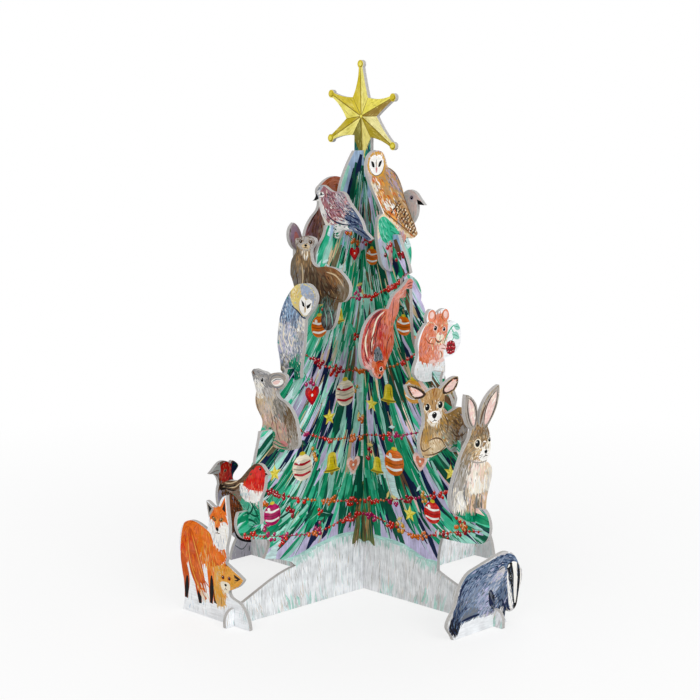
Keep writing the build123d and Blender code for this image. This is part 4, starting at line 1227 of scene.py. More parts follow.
def paint_pheasant(card):
    card.coat(4.0, 0.9, [
        (30, 72, -95, CHESTNUT, UMBER), (34, 60, -85, CHESTNUT, RUST, UMBER),
        (40, 46, -80, CHESTNUT, SEPIA, RUST), (60, 56, -40, CHESTNUT, TAN, UMBER),
        (80, 48, -55, TAN, CHESTNUT), (90, 24, -80, CHESTNUT, SAND, UMBER),
        (60, 26, -70, SEPIA, CHESTNUT), (24, 66, -100, STONE, LILAC),
        (70, 6, 90, ASH, LILAC, SLATE),
    ])
    foot = card.ring([(40, 26), (60, 20), (80, 18), (98, 16), (102, -2), (40, -2)])
    card.field(foot, mix(ASH, LILAC, 0.4), (0, 1))
    card.fur(0.15, 4.0, 0.5, [(70, 10, 80, ASH, SNOW, SLATE)], foot)
    card.patch(RED, 0.9, 2.4, 0.7, [
        (18, 88), (22, 96), (32, 98.5), (42, 95), (46, 87), (40, 79), (24, 80),
    ], [(24, 90, -100, RED, CORAL), (40, 86, -80, CRIMSON, MAROON, RED)])
    card.blob([(41, 84), (42, 96), (48, 97), (53, 92), (48, 87), (45.5, 81)], NAVY)
    card.lines(0.8, PINE, [(44, 94), (49, 94), (52, 92)], [(43, 88), (45, 84), (45, 80)])
    card.blob([(20, 78), (34, 77.5), (46, 78), (48, 72), (34, 71.5), (20, 72)], SEPIA)
    card.lines(0.9, SAND, [(22, 77.5), (34, 77), (46, 77.5)], [(24, 74.5), (36, 74), (47, 74.5)])
    card.lines(1.0, INK, [(22, 73), (34, 72.5), (47, 73)])
    card.blob([(2, 90.5), (10, 96), (19, 97), (20, 90), (12, 88.5)], ASH)
    card.lines(0.5, UMBER, [(3, 90), (12, 91.5), (19, 91)])
    scales = card.ring([(24, 66), (44, 70), (60, 62), (84, 50), (90, 30), (64, 30), (46, 38)])
    card.fur(0.22, 1.6, 1.0, [(40, 60, -80, SEPIA, INK), (80, 30, -70, INK, CREAM)], scales)
    card.line([(44, 34), (52, 22), (68, 16), (84, 13)], 2.6, INK)
    card.lines(0.9, SLATE, [(46, 14), (60, 8), (72, 14)], [(74, 10), (74, 4)])
    card.eye(29, 90, 1.8, CORAL)


def paint_dove(card):
    card.coat(3.2, 0.8, [
        (68, 93, 10, ASH, BLUSH, ASH), (84, 86, -30, BLUSH, BLUSH, ASH),
        (80, 66, -80, BLUSH, PAPER, BLUSH), (60, 76, -140, MAUVE, BLUSH, ASH),
        (82, 40, -95, BLUSH, PAPER, ASH), (45, 56, -150, STONE, SLATE, MAUVE),
        (24, 38, -155, SLATE, DUSK), (6, 20, -160, SLATE, NAVY), (40, 10, 90, LEAF, PINE),
    ])
    card.lines(
        0.8, NAVY, [(60, 60), (44, 44), (26, 30)], [(54, 46), (38, 34), (22, 24)],
        [(20, 36), (10, 26), (2, 22)],
    )
    card.shape([(86, 79), (93, 76), (100, 67), (88, 68)], INK)
    card.lines(0.6, ROSE, [(42, 14), (41, 6)], [(36, 14), (35, 6)])
    card.eye(76.5, 82.5, 2.0, MAUVE)


def paint_finch(card):
    card.coat(2.6, 0.7, [
        (70, 92, 10, OLIVE, JADE, STONE), (84, 80, -60, STRAW, OCHRE),
        (80, 52, -90, LEMON, STRAW, SAND), (56, 70, -140, OLIVE, BARK),
        (60, 36, -130, STRAW, CREAM), (40, 50, -145, OLIVE, BARK, UMBER),
        (16, 24, -155, UMBER, SLATE), (50, 10, 90, LEAF, PINE),
    ])
    card.lines(
        0.9, SEPIA, [(58, 56), (44, 42), (28, 30)], [(50, 44), (36, 32), (22, 22)],
        [(20, 30), (10, 20), (2, 14)],
    )
    card.lines(0.8, LEMON, [(54, 50), (42, 38), (30, 28)])
    card.shape([(90, 80), (100, 74), (90, 68)], STONE)
    card.lines(0.5, SEPIA, [(50, 20), (50, 6)], [(58, 20), (59, 6)])
    card.eye(80, 84, 1.6, CREAM)


def paint_dormouse(card):
    card.coat(2.6, 0.7, [
        (10, 36, 110, OCHRE, TAN), (30, 70, 50, OCHRE, AMBER, TAN), (50, 70, -10, AMBER, OCHRE),
        (70, 66, -20, TAN, OCHRE), (90, 48, -30, SAND, CREAM), (60, 34, -70, CREAM, SAND),
        (30, 30, -100, TAN, OCHRE, AMBER), (20, 10, 10, UMBER, TAN), (70, 10, -90, SAND, CREAM),
    ])
    card.blob([(44, 84), (46, 95), (54, 95), (58, 86), (52, 80)], ROSE)
    card.lines(
        0.6, CHESTNUT, [(42, 86), (47, 97), (57, 95)], [(28, 50), (36, 30), (30, 10)],
        [(60, 40), (66, 26), (62, 10)],
    )
    card.oval(97, 48, 1.4, 1.2, ROSE)
    card.lines(0.3, SEPIA, [(88, 46), (80, 42), (72, 42)], [(88, 44), (82, 38), (76, 35)])
    card.lines(1.0, LEAF, [(50, 6), (68, 4), (84, 8)])
    card.eye(72, 62, 2.4, CREAM)


def paint_stoat(card):
    card.coat(2.8, 0.8, [
        (12, 90, 20, CHESTNUT, TAN), (34, 92, 10, CHESTNUT, UMBER), (20, 76, -80, CREAM, PAPER),
        (24, 52, -85, CREAM, PAPER, SAND), (44, 64, -70, CHESTNUT, TAN),
        (60, 40, -60, CHESTNUT, TAN, UMBER), (20, 24, -90, CREAM, SAND),
        (70, 18, -40, TAN, CHESTNUT), (50, 6, 90, LEAF, JADE),
    ])
    card.blob([(29, 96), (36, 99), (42, 96), (38, 91)], ROSE)
    card.lines(0.6, SEPIA, [(24, 68), (34, 50), (36, 26)], [(46, 34), (42, 20), (54, 12)])
    card.line([(74, 20), (88, 14), (98, 12)], 1.8, INK)
    card.oval(2, 88.5, 1.3, 1.1, INK)
    card.eye(19, 91.5, 1.6, CREAM)


def paint_hedgehog(card):
    card.field(card.outline, mix(SNOW, ASH, 0.5), (0, 1))
    card.fur(0.2, 3.4, 0.5, [(80, 30, 90, SNOW, ASH, FROST), (40, 10, 80, ASH, SNOW)])
    card.blob([(2, 14), (10, 34), (24, 34), (30, 12), (26, 2), (6, 2)], SAND)
    card.fur(0.5, 2.4, 0.7, [
        (12, 20, 30, SAND, TAN, CREAM),
    ], card.ring([(3, 16), (10, 32), (24, 32), (28, 6), (8, 4)]))
    card.patch(UMBER, 1.3, 4.0, 0.6, [
        (12, 40), (20, 62), (30, 84), (42, 92), (52, 82), (58, 60), (59, 30), (57, 12), (46, 12),
        (30, 14), (22, 30),
    ], [
        (20, 44, 20, SAND, SEPIA, TAN), (40, 80, 10, UMBER, CREAM, SEPIA),
        (48, 60, -50, SEPIA, SAND, TAN), (50, 24, -60, SEPIA, SAND),
    ])
    card.lines(0.9, SEPIA, [(16, 4), (22, 8), (30, 4)], [(40, 4), (46, 8), (52, 4)])
    card.blob([(17, 36), (22, 44), (27, 38), (23, 30)], TAN)
    card.oval(3, 19, 2.0, 1.7, INK)
    card.eye(13, 25, 1.9)


# The tree print is laid out in (millimetres from the crossing, height)
SNOW_LINE = [
    (-116, 25), (-80, 28), (-57.6, 29.5), (-50.3, 31), (-29.7, 35), (-15.4, 35.5), (0, 33.5),
    (12.9, 33.3), (33.8, 32.4), (51.7, 27.1), (58.9, 27.1), (80, 26), (116, 24),
]
SNOW_CLUMPS = (-96, -64, -34, 22, 58, 84, 100)
SNOW_CORNERS = ((116, -2), (-116, -2))
LILAC_GROUND = ((-62, 20), (62, 20), (66, 44), (30, 58), (-30, 58), (-66, 46))
SKY_GROUND = ((-34, 205), (-12, 276), (12, 276), (34, 205))
# Pale gaps between the branches: (place, height, width)
GAPS = (
    ((-62, 74), 20, 30), ((60, 78), 22, 26), ((-30, 132), 20, 34), ((34, 126), 18, 30),
    ((-20, 190), 14, 26), ((16, 194), 12, 24), ((-82, 50), 26, 16), ((84, 50), 24, 14),
)
TRUNK = (
    (-7, 62), (-8, 44), (-11, 30), (-5, 32), (0, 29), (6, 31), (11, 29), (8, 44), (7, 62), (0, 68),
)
# Strings of beads
SWAGS = [
    [(-22, 226), (-8, 214), (8, 216), (24, 228)],
    [(-42, 196), (-24, 184), (0, 180), (20, 186), (38, 198)],
    [(-52, 152), (-30, 141), (0, 136), (28, 142), (50, 154)],
    [(-72, 116), (-44, 102), (-14, 96), (16, 98), (46, 104), (70, 116)],
    [(-88, 78), (-56, 66), (-24, 59), (0, 56), (26, 60), (58, 68), (86, 78)],
    [(-98, 52), (-70, 46), (-40, 43), (-14, 47), (16, 46), (44, 42), (70, 48), (96, 54)],
]
# Berry sprigs
SPRIGS = (
    (-14, 238), (12, 222), (-2, 190), (-30, 206), (26, 212), (-34, 182), (2, 152), (-50, 140),
    (44, 146), (20, 148), (-28, 146), (-6, 112), (28, 106), (-40, 98), (56, 112), (-66, 120),
    (-20, 68), (22, 66), (48, 74), (-56, 66), (78, 66), (-86, 72), (-34, 52), (34, 52), (62, 50),
    (-66, 50), (84, 60), (-84, 58), (-10, 132), (10, 92),
)
# Ornaments of each panel, with their size as well
ORNAMENTS = (
    (
        ("heart", -9, 207, 6.5), ("bauble", 9, 199, 7), ("bell", -22, 171, 8), ("star", 12, 166, 7),
        ("bauble", -38, 166, 9), ("holly", -8, 157, 9), ("holly", 30, 172, 9),
        ("bauble", -17, 124, 11), ("heart", -44, 126, 9), ("star", -30, 111, 8),
        ("bell", 18, 124, 10), ("bauble", 38, 128, 10), ("holly", -60, 101, 10),
        ("bauble", -52, 84, 11), ("bell", -28, 83, 11), ("heart", -10, 79, 9), ("star", -74, 84, 8),
        ("bauble", -76, 60, 9), ("holly", -38, 55, 9), ("bauble", 30, 84, 11), ("heart", 54, 88, 10),
        ("star", 10, 74, 8), ("bell", 66, 62, 10), ("holly", 42, 55, 10), ("star", -20, 231, 5),
    ),
    (
        ("bauble", 8, 205, 7), ("star", -10, 199, 6), ("holly", 24, 175, 9), ("heart", 10, 163, 8),
        ("bell", -26, 170, 9), ("bauble", -12, 158, 9), ("bauble", 34, 166, 8),
        ("bell", 22, 124, 10), ("bauble", 42, 128, 10), ("star", 8, 116, 8), ("heart", -20, 122, 10),
        ("holly", -44, 128, 10), ("bauble", 27, 83, 11), ("heart", 48, 87, 9), ("holly", 62, 98, 10),
        ("bauble", 58, 58, 9), ("bell", 13, 79, 9), ("star", 72, 84, 8), ("star", 40, 54, 8),
        ("bauble", -30, 84, 11), ("bell", -56, 86, 10), ("star", -12, 76, 8), ("heart", -66, 62, 10),
        ("holly", -40, 55, 10), ("star", 16, 233, 5),
    ),
)
# Outlines of ornaments, as shares of their size
HEART = (
    (0, -0.5), (0.3, -0.2), (0.48, 0.1), (0.42, 0.36), (0.2, 0.42), (0, 0.24),
    (-0.2, 0.42), (-0.42, 0.36), (-0.48, 0.1), (-0.3, -0.2),
)
BELL = (
    (0, 0.46), (0.2, 0.38), (0.27, 0.1), (0.32, -0.2), (0.48, -0.34), (0, -0.4),
    (-0.48, -0.34), (-0.32, -0.2), (-0.27, 0.1), (-0.2, 0.38),
)
HOLLY_EDGE = ((0, 0), (0.16, 0.16), (0.3, 0.10), (0.42, 0.26), (0.58, 0.14), (0.74, 0.20), (1, 0))

# Colours of what hangs on the tree, and of the bunches of its fronds
BEADS = (RED, ORANGE, CRIMSON, RED, MAGENTA)
BERRIES = (RED, ORANGE, MAGENTA, AMBER, CRIMSON)
BAUBLES = (ORANGE, CREAM, AMBER, RED, ORANGE, MAGENTA)
BUNCHES = (
    (LEAF, JADE, LEAF, AQUA), (PINE, LEAF, PINE, NAVY), (JADE, LEAF, AQUA),
    (NAVY, PINE, NAVY, AQUA), (AQUA, JADE, OLIVE, FROST), (LEAF, PINE, JADE),
    (LILAC, SAND, NAVY, LILAC), (LEAF, JADE, BLUSH, LILAC), (PINE, LEAF, JADE),
)

# Branches hang steeply at the crossing and flatter out to the side, in degrees
STEEPEST = 86
FLATTENING = 56
FLATTEST_AT = 95
FLATTENING_POWER = 0.8
# Fronds start in rows from the crown down, wider by the row, and end above the snow
CROWN_ROW = 262.0
LAST_ROW = 54
ROW_STEP = 11
ROW_HALF = 4.0
ROW_WIDENING = 0.55
ROW_APEX = 270
BUNCH_GAP = 8
SNOW_TOP = 28
# Fronds that start above this height keep this share of their length
CROWN_FROM = 200
CROWN_SHARE = 0.6
# Dry lines keep within this slope from this height
DRY_SLOPE = 0.50
DRY_APEX = 268
FRONDS_AT_ROOT = 6
FROND_STEPS = 5
# Share of frond marks in the panel's own tones, which are partly painted light and painted shade
LIGHT_AND_SHADE_SHARE = 0.2
# The snow rises to a crest at the crossing and falls off by its slope
SNOW_HALF = 112
SNOW_CREST = 31
SNOW_SLOPE = 0.07
# Threads of beads and ornaments, and how much larger ornaments are laid than listed
THREAD_WIDTH = 0.5
BAUBLE_GAIN = 1.45
ORNAMENT_GAIN = 1.3
# How far the inner and outer corners of a small star lie from its middle
STAR_WAIST = 0.22
STAR_REACH = 0.5
# Numbers of brush marks of each sort
LOW_FRONDS = 110
DRY_LINES = 620
TRUNK_MARKS = 110
TRUNK_FRONDS = 46
EDGE_MARKS = 9
CLUMP_MARKS = 90
SNOW_MARKS = 460

STAR_CENTER = Vector((-1.1, 287.4))
STAR_TIPS = places(
    [(0.0, 266.0), (24.6, 270.3), (24.6, 298.2), (-1.8, 317.7), (-26.4, 300.6), (-27.0, 274.2)]
)
STAR_VALLEYS = places(
    [(-8.4, 276.3), (6.6, 275.1), (11.7, 287.4), (4.5, 298.2), (-8.1, 298.5), (-13.5, 285.9)]
)
STAR_TAB = places([(-7.5, 255), (7.5, 255), (7.5, 280), (-7.5, 280)])
TEAL = (0.22, 0.45, 0.45)
PALE_GOLD = (0.95, 0.91, 0.62)
# The two washes on each ray of the star
WASHES = (
    (mix(BRONZE, PINE, 0.15), mix(PALE_GOLD, GOLD, 0.3)), (mix(GOLD, BRONZE, 0.55), PALE_GOLD),
    (mix(BRONZE, TAN, 0.4), LEMON), (mix(LEMON, PALE_GOLD, 0.4), GOLD),
    (GOLD, mix(LEMON, PALE_GOLD, 0.3)), (mix(GOLD, BRONZE, 0.3), mix(LEMON, PALE_GOLD, 0.5)),
)


def spread(center, size, shares, gain=1):
    """Return places round a centre, given as shares of a size."""
    return [center + Vector(share) * size * gain for share in shares]


def branch_turn(place):
    """Return the heading of the branches at a place of the tree, in radians."""
    out = min(1.0, abs(place.x) / FLATTEST_AT)
    below = math.radians(STEEPEST - FLATTENING * out ** FLATTENING_POWER)
    return math.atan2(-math.sin(below), math.copysign(math.cos(below), place.x or 1))


def paint_frond(tree, root, length, width, color, lean=0.0):
    """Lay one long brush mark that follows the branches down from its root."""
    points = [root]
    for _ in range(FROND_STEPS):
        way = heading(branch_turn(points[-1]) + lean)
        points.append(points[-1] + way * length / FROND_STEPS)
    tree.band(points, width, color, (0.55, 0.15))


def frond_roots(chance):
    """Return the roots of the bunches, row by row from the crown down."""
    roots = []
    height = CROWN_ROW
    while height > LAST_ROW:
        half = ROW_HALF + ROW_WIDENING * (ROW_APEX - height)
        count = int(2 + half / BUNCH_GAP)
        for k in range(count):
            across = -half + 2 * half * (k + chance.random()) / count
            roots.append(Vector((across, height + chance.uniform(-5, 5))))
        height -= ROW_STEP
    return roots


def paint_branches(tree, light_and_shade_tones):
    """Lay bunches of fronds over the tree, from the lowest up."""
    chance = tree.chance
    for number, root in enumerate(reversed(frond_roots(chance))):
        if number % 3 == 0:
            colors = chance.choice(BUNCHES)
        lean = chance.gauss(0, 0.10)
        for _ in range(FRONDS_AT_ROOT):
            start = root + Vector((chance.gauss(0, 4.0), chance.gauss(0, 4.5)))
            if not inside(start, tree.outline):
                continue
            length = min(chance.uniform(18, 48), (start.y - SNOW_TOP) * chance.uniform(0.6, 1.3))
            if start.y > CROWN_FROM:
                length *= CROWN_SHARE
            # Some marks take the panel's own tones: the bottom panel's pale ones are partly painted
            # light, the top panel's dark ones partly painted shade
            picked = chance.choice(light_and_shade_tones if chance.random() < LIGHT_AND_SHADE_SHARE else colors)
            color = tree.tint(picked, 0.12)
            paint_frond(tree, start, length, chance.uniform(1.8, 6.4), color, lean)


def paint_low_fronds(tree):
    """Lay flatter fronds at the ends of the lowest branches."""
    chance = tree.chance
    for _ in range(LOW_FRONDS):
        side = chance.choice((-1, 1))
        start = Vector((side * chance.uniform(46, 102), chance.uniform(42, 66)))
        if inside(start, tree.outline):
            color = tree.tint(chance.choice((LEAF, JADE, AQUA, LEAF, AQUA, PINE)), 0.12)
            width = chance.uniform(1.2, 4.2)
            length = chance.uniform(12, 30)
            paint_frond(tree, start, length, width, color, side * chance.uniform(0.15, 0.45))


def paint_dry_lines(tree):
    """Lay thin lines of a nearly dry brush over the fronds."""
    chance = tree.chance
    for _ in range(DRY_LINES):
        height = chance.uniform(40, 258)
        half = DRY_SLOPE * (DRY_APEX - height)
        start = Vector((chance.uniform(-half, half), height))
        color = chance.choice((AQUA, SAND, PINE, FROST, JADE, LEAF))
        length, width = chance.uniform(7, 20), chance.uniform(0.35, 0.95)
        paint_frond(tree, start, length, width, tree.tint(color))


def paint_bead(tree, center, width, color):
    """Lay a round bead with its shade and glint."""
    tree.dot(center, width, darker(color, 0.72), 8)
    tree.dot(center + Vector((-0.08, 0.1)) * width, 0.72 * width, color, 7)
    tree.dot(center + Vector((-0.2, 0.22)) * width, 0.22 * width, PAPER, 5)


def paint_swag(tree, run, number):
    """Lay a string of beads. Single beads and small bunches take turns along it."""
    chance = tree.chance
    line = smooth_line(places(run))
    tree.band(line, THREAD_WIDTH, CHESTNUT, (1, 1))
    walked, wanted, group, left = 0.0, 1.0, number, 3
    color = BEADS[number % len(BEADS)]
    for a, b in zip(line, line[1:]):
        reach = (b - a).length
        while wanted < walked + reach:
            center = a.lerp(b, (wanted - walked) / reach)
            if left == 0:
                left = chance.randint(2, 5)
                group += 1
                color = chance.choice(BEADS)
            left -= 1
            if group % 2:
                for _ in range(chance.randint(2, 4)):
                    bead = center + tree.spot((-1.8, -2.2), (1.8, 1.6))
                    paint_bead(tree, bead, chance.uniform(2.1, 2.9), tree.tint(color))
            else:
                bead = center + Vector((0, chance.uniform(-0.5, 0.5)))
                paint_bead(tree, bead, chance.uniform(1.6, 2.2), tree.tint(color))
            wanted += chance.uniform(2.3, 4.2)
        walked += reach


def paint_sprig(tree, center, number):
    """Lay a small sprig: a thin stem, two leaves and a few berries."""
    turn = math.radians(-90 + 40 * math.sin(number * 1.9))
    way = heading(turn)
    tree.band([center, center + way * 4, center + way * 8.5], 0.5, OLIVE, (1, 0.6))
    for k, side in enumerate((-1, 1)):
        leaf = center + way * (1.5 + 3 * k)
        tip = leaf + heading(turn + side * 0.9) * 5
        tree.band([leaf, leaf.lerp(tip, 0.5), tip], 2.2, (FROST, JADE, STRAW)[number % 3])
    color = BERRIES[number % len(BERRIES)]
    for _ in range(4 + number % 4):
        down, aside = tree.chance.uniform(4.5, 11), tree.chance.uniform(-3.2, 3.2)
        berry = center + (way * down + left_of(way) * aside)
        paint_bead(tree, berry, tree.chance.uniform(2.3, 3.1), tree.tint(color))


def paint_bauble(tree, center, size, number):
    """Lay a round bauble with three bands, a cap and a glint."""
    color = BAUBLES[number % len(BAUBLES)]
    trim = PAPER if color != CREAM else CRIMSON
    tree.dot(center, size, color, 20)
    inner = center + Vector((0.08, -0.1)) * size
    tree.disc(inner, 0.8 * size, 0.78 * size, darker(color, 0.9), 0, 18)
    for level in (-0.2, 0.0, 0.2):
        half = math.sqrt(0.25 - level * level) * 0.9
        line = smooth_line(spread(center, size, ((-half, level), (0, level - 0.09), (half, level))))
        if level:
            tree.band(line, 0.10 * size, trim, (0.8, 0.8))
        else:
            tree.band(line, 0.05 * size, darker(color, 0.7), (0.8, 0.8))
    tree.disc(center + Vector((0, 0.52)) * size, 0.3 * size, 0.16 * size, GOLD, 0, 8)
    tree.disc(center + Vector((-0.2, 0.24)) * size, 0.16 * size, 0.22 * size, PAPER, 30, 8)


def paint_heart(tree, center, size, number):
    """Lay a heart in a rim, with a dot in the middle."""
    tree.field(smooth_ring(spread(center, size, HEART)), (CRIMSON, BLUSH)[number % 2])
    tree.field(smooth_ring(spread(center, size, HEART, 0.62)), (RED, CORAL)[number % 2])
    tree.dot(center, 0.16 * size, PAPER, 6)


def paint_bell(tree, center, size, number):
    """Lay a bell over its clapper, with its rim, a light line and a dark one."""
    tree.dot(center + Vector((0, -0.42)) * size, 0.22 * size, BRONZE, 8)
    tree.field(smooth_ring(spread(center, size, BELL)), GOLD)
    rim = spread(center, size, ((-0.42, -0.3), (0, -0.34), (0.42, -0.3)))
    tree.band(rim, 0.09 * size, BRONZE, (0.8, 0.8))
    lit = spread(center, size, ((-0.14, 0.3), (-0.17, 0), (-0.24, -0.22)))
    tree.band(lit, 0.09 * size, LEMON)
    dark = spread(center, size, ((0.1, 0.3), (0.15, 0), (0.22, -0.22)))
    tree.band(dark, 0.07 * size, BRONZE)


def paint_small_star(tree, center, size, number):
    """Lay a five-pointed star with a dark side on each ray."""
    points = []
    for k in range(10):
        way = Vector((math.sin(math.pi * k / 5), math.cos(math.pi * k / 5)))
        points.append(center + way * size * (STAR_WAIST if k % 2 else STAR_REACH))
    tree.field(points, LEMON)
    for k in range(0, 10, 2):
        tree.field([center, points[k], points[k + 1]], GOLD)


def paint_holly(tree, center, size, number):
    """Lay three holly leaves, each with its points and its rib, and three berries."""
    length = size * 0.9
    for turn, shade in ((205, LEAF), (-20, PINE), (95, JADE)):
        way = heading(math.radians(turn + 15 * (number % 3)))
        side = left_of(way)
        upper = [center + way * length * a + side * length * b for a, b in HOLLY_EDGE]
        lower = [center + way * length * a - side * length * b for a, b in HOLLY_EDGE[1:-1]]
        tree.field(upper + lower[::-1], shade, way)
        tree.band([center, center + way * length * 0.5, center + way * length * 0.9], 0.4, AQUA)
    for k in range(3):
        paint_bead(tree, center + heading(2.1 * k) * 1.5, 2.5, RED)


ORNAMENT_PAINTERS = {
    "bauble": paint_bauble, "heart": paint_heart, "bell": paint_bell,
    "star": paint_small_star, "holly": paint_holly,
}


def paint_ornament(tree, kind, along, height, size, number):
    """Lay one ornament, hung on a short thread unless it is holly."""
    center = Vector((along, height))
    size *= BAUBLE_GAIN if kind == "bauble" else ORNAMENT_GAIN
    if kind != "holly":
        thread = ((0.4, size * 0.95), (0, size * 0.7), (0, size * 0.45))
        tree.band([center + Vector(way) for way in thread], THREAD_WIDTH, UMBER, (1, 1))
    ORNAMENT_PAINTERS[kind](tree, center, size, number)


def paint_snow(tree, snow):
    """Lay the snow field with its feathered edge, thin grasses and cold tints."""
    chance = tree.chance
    top_line = smooth_line(places(SNOW_LINE))
    tree.band(top_line, 5.0, mix(AQUA, FROST, 0.5), (1, 1))
    below = [Vector((across, tree.low.y + drop)) for across, drop in SNOW_CORNERS]
    # The snow colour is greyer on the top panel: partly painted shade
    tree.field(top_line + below, snow, (0, 1))
    for place in top_line[::2]:
        for _ in range(EDGE_MARKS):
            root = place + tree.spot((-4, -0.5), (4, 1.5))
            color = mix(snow, AQUA, chance.uniform(0.2, 0.7))
            turn = math.radians(-90 + chance.gauss(0, 14))
            tree.dash(root, turn, chance.uniform(2.5, 6.5), chance.uniform(0.8, 2.0), color)
    for number in range(SNOW_MARKS):
        across = chance.uniform(-SNOW_HALF, SNOW_HALF)
        top = SNOW_CREST - SNOW_SLOPE * abs(across)
        if number < CLUMP_MARKS:
            clump = chance.choice(SNOW_CLUMPS)
            root = Vector((chance.gauss(clump, 7), chance.uniform(-6, 2)))
            color = mix(snow, chance.choice((AQUA, FROST, AQUA, ASH)), chance.uniform(0.3, 0.8))
            length, width = chance.uniform(4, 15), chance.uniform(0.8, 2.4)
        else:
            root = Vector((across, chance.uniform(-4, top - 5)))
            picked = chance.choice((STONE, TAN, SLATE, OLIVE, ASH, STONE, AQUA))
            color = mix(snow, picked, chance.uniform(0.2, 0.6))
            length, width = chance.uniform(5, 13), chance.uniform(0.22, 0.42)
        turn = math.radians(90 + chance.gauss(0, 8) - 0.16 * root.x)
        tree.dash(root, turn, min(length, top - root.y), width, color, chance.uniform(-1.2, 1.2))


def paint_trunk(tree):
    """Lay the trunk, its bark, and fronds that hang over its top."""
    chance = tree.chance
    tree.field(smooth_ring(places(TRUNK)), BARK, (0, 1))
    for _ in range(TRUNK_MARKS):
        root = tree.spot((-8, 38), (8, 66))
        color = tree.tint(chance.choice((BARK, OLIVE, UMBER, PINE, JADE, TAN, BARK)), 0.12)
        turn = math.radians(-90 + root.x * 1.1 + chance.gauss(0, 4))
        length = min(chance.uniform(6, 18), root.y - 26)
        tree.dash(root, turn, length, chance.uniform(0.6, 1.5), color, chance.uniform(-1, 1))
    for _ in range(TRUNK_FRONDS):
        root = tree.spot((-16, 62), (16, 76))
        length, width = chance.uniform(12, 22), chance.uniform(1.4, 3.0)
        color = tree.tint(chance.choice((LEAF, PINE, JADE)), 0.1)
        paint_frond(tree, root, length, width, color)


def paint_tree(tree, ornaments, snow, light_and_shade_tones):
    """Lay the tree print on one panel."""
    tree.field(smooth_ring(places(LILAC_GROUND)), LILAC, (0, 1))
    tree.field(places(SKY_GROUND), mix(SKY, LILAC, 0.25), (0, 1))
    for place, high, wide in GAPS:
        tree.disc(Vector(place), high, wide, LILAC, 90, 20)
    paint_branches(tree, light_and_shade_tones)
    paint_low_fronds(tree)
    paint_dry_lines(tree)
    paint_snow(tree, snow)
    paint_trunk(tree)
    for number, run in enumerate(SWAGS):
        paint_swag(tree, run, number)
    for number, place in enumerate(SPRIGS):
        paint_sprig(tree, Vector(place), number)
    for number, (kind, along, height, size) in enumerate(ornaments):
        paint_ornament(tree, kind, along, height, size, number)


def paint_star(star):
    """Lay the faceted star: each ray has two washes, and each but the lowest a ball on its tip."""
    star.field(STAR_TAB, TEAL, (0, 1))
    star.fur(1.3, 4.0, 1.0, [
        (40, 5, 80, PINE, LEAF, DENIM), (70, 10, 95, JADE, PINE, NAVY),
    ], STAR_TAB)
    center = STAR_CENTER
    for number, (tip, wash) in enumerate(zip(STAR_TIPS, WASHES)):
        start, end = STAR_VALLEYS[number], STAR_VALLEYS[(number + 1) % len(STAR_VALLEYS)]
        way = tip - center
        for valley, color in ((start, wash[0]), (end, wash[1])):
            waist = valley.lerp(tip, 0.42) + (valley - center) * 0.05
            outer = tip + (valley - center).normalized() * 2.4
            side = [center, center + (valley - center) * 1.05, waist, outer, tip]
            star.field(side, color, way)
            turn = math.degrees(math.atan2(way.y, way.x))
            pull = (50, 50, turn, color, mix(color, PALE_GOLD, 0.4), mix(color, BRONZE, 0.3))
            star.fur(0.5, 3.4, 0.8, [pull], side if doubled_area(side) > 0 else side[::-1])
        star.band([center, center.lerp(tip, 0.5), tip], 0.7, BRONZE, (0.9, 0.5))
        star.band([center, center.lerp(start, 0.5), start], 0.45, BRONZE, (0.9, 0.4))
        if number:
            star.dot(tip, 4.4, GOLD, 14)
            star.dot(tip + Vector((0.2, -0.2)), 3.2, BRONZE, 12)
            star.dot(tip + Vector((-0.1, 0.1)), 2.7, LEMON if number % 2 else GOLD, 12)
    star.dot(center, 2.6, BRONZE, 12)
    star.dot(center, 2.0, LEMON, 12)


def feed(tree, node, sockets):
    """Feed a node's inputs by name or number: outputs are linked, other values are set."""
    for socket, value in sockets.items():
        if isinstance(value, bpy.types.NodeSocket):
            tree.links.new(value, node.inputs[socket])
        else:
            node.inputs[socket].default_value = value
    return node


def add_node(tree, kind, sockets=None):
    """Add a node and feed its inputs."""
    return feed(tree, tree.nodes.new(kind), sockets or {})


def add_math(tree, operation, *values):
    """Add a math node on the values and return its output."""
    node = tree.nodes.new("ShaderNodeMath")
    node.operation = operation
    return feed(tree, node, dict(enumerate(values))).outputs[0]


def add_noise(tree, vector, scale, detail, roughness=0.55):
    """Add a noise texture on the vector and return its value."""
    sockets = {"Vector": vector, "Scale": scale, "Detail": detail, "Roughness": roughness}
    return add_node(tree, "ShaderNodeTexNoise", sockets).outputs["Fac"]


def add_bump(tree, height, strength, distance):
    """Add a bump of a height and return its normal."""
    sockets = {"Height": height, "Strength": strength, "Distance": distance}
    return add_node(tree, "ShaderNodeBump", sockets).outputs["Normal"]


def object_place(tree):
    """Return the place on the piece, in metres."""
    return add_node(tree, "ShaderNodeTexCoord").outputs["Object"]


def corner_value(tree, name, output):
    """Return the value that each corner of a board holds under a name."""
    node = add_node(tree, "ShaderNodeAttribute")
    node.attribute_name = name
    return node.outputs[output]


def seen_directly(tree):
    """Return 1 where the camera sees a surface itself, in a mirror or through glass."""
    rays = add_node(tree, "ShaderNodeLightPath").outputs
    seen = add_math(tree, "MAXIMUM", rays["Is Camera Ray"], rays["Is Glossy Ray"])
    return add_math(tree, "MAXIMUM", seen, rays["Is Transmission Ray"])


def new_group(name, inputs, outputs):
    """Make an empty shader group with named sockets, given as (name, kind, value)."""
    group = bpy.data.node_groups.new(name, "ShaderNodeTree")
    for label, kind, value in inputs:
        socket = group.interface.new_socket(label, in_out="INPUT", socket_type=kind)
        if value is not None:
            socket.default_value = value
    for label, kind in outputs:
        group.interface.new_socket(label, in_out="OUTPUT", socket_type=kind)
    return group, group.nodes.new("NodeGroupInput"), group.nodes.new("NodeGroupOutput")


def place_group(tree, group, sockets):
    """Place a group in a material and feed its inputs."""
    node = tree.nodes.new("ShaderNodeGroup")
    node.node_tree = group
    return feed(tree, node, sockets)


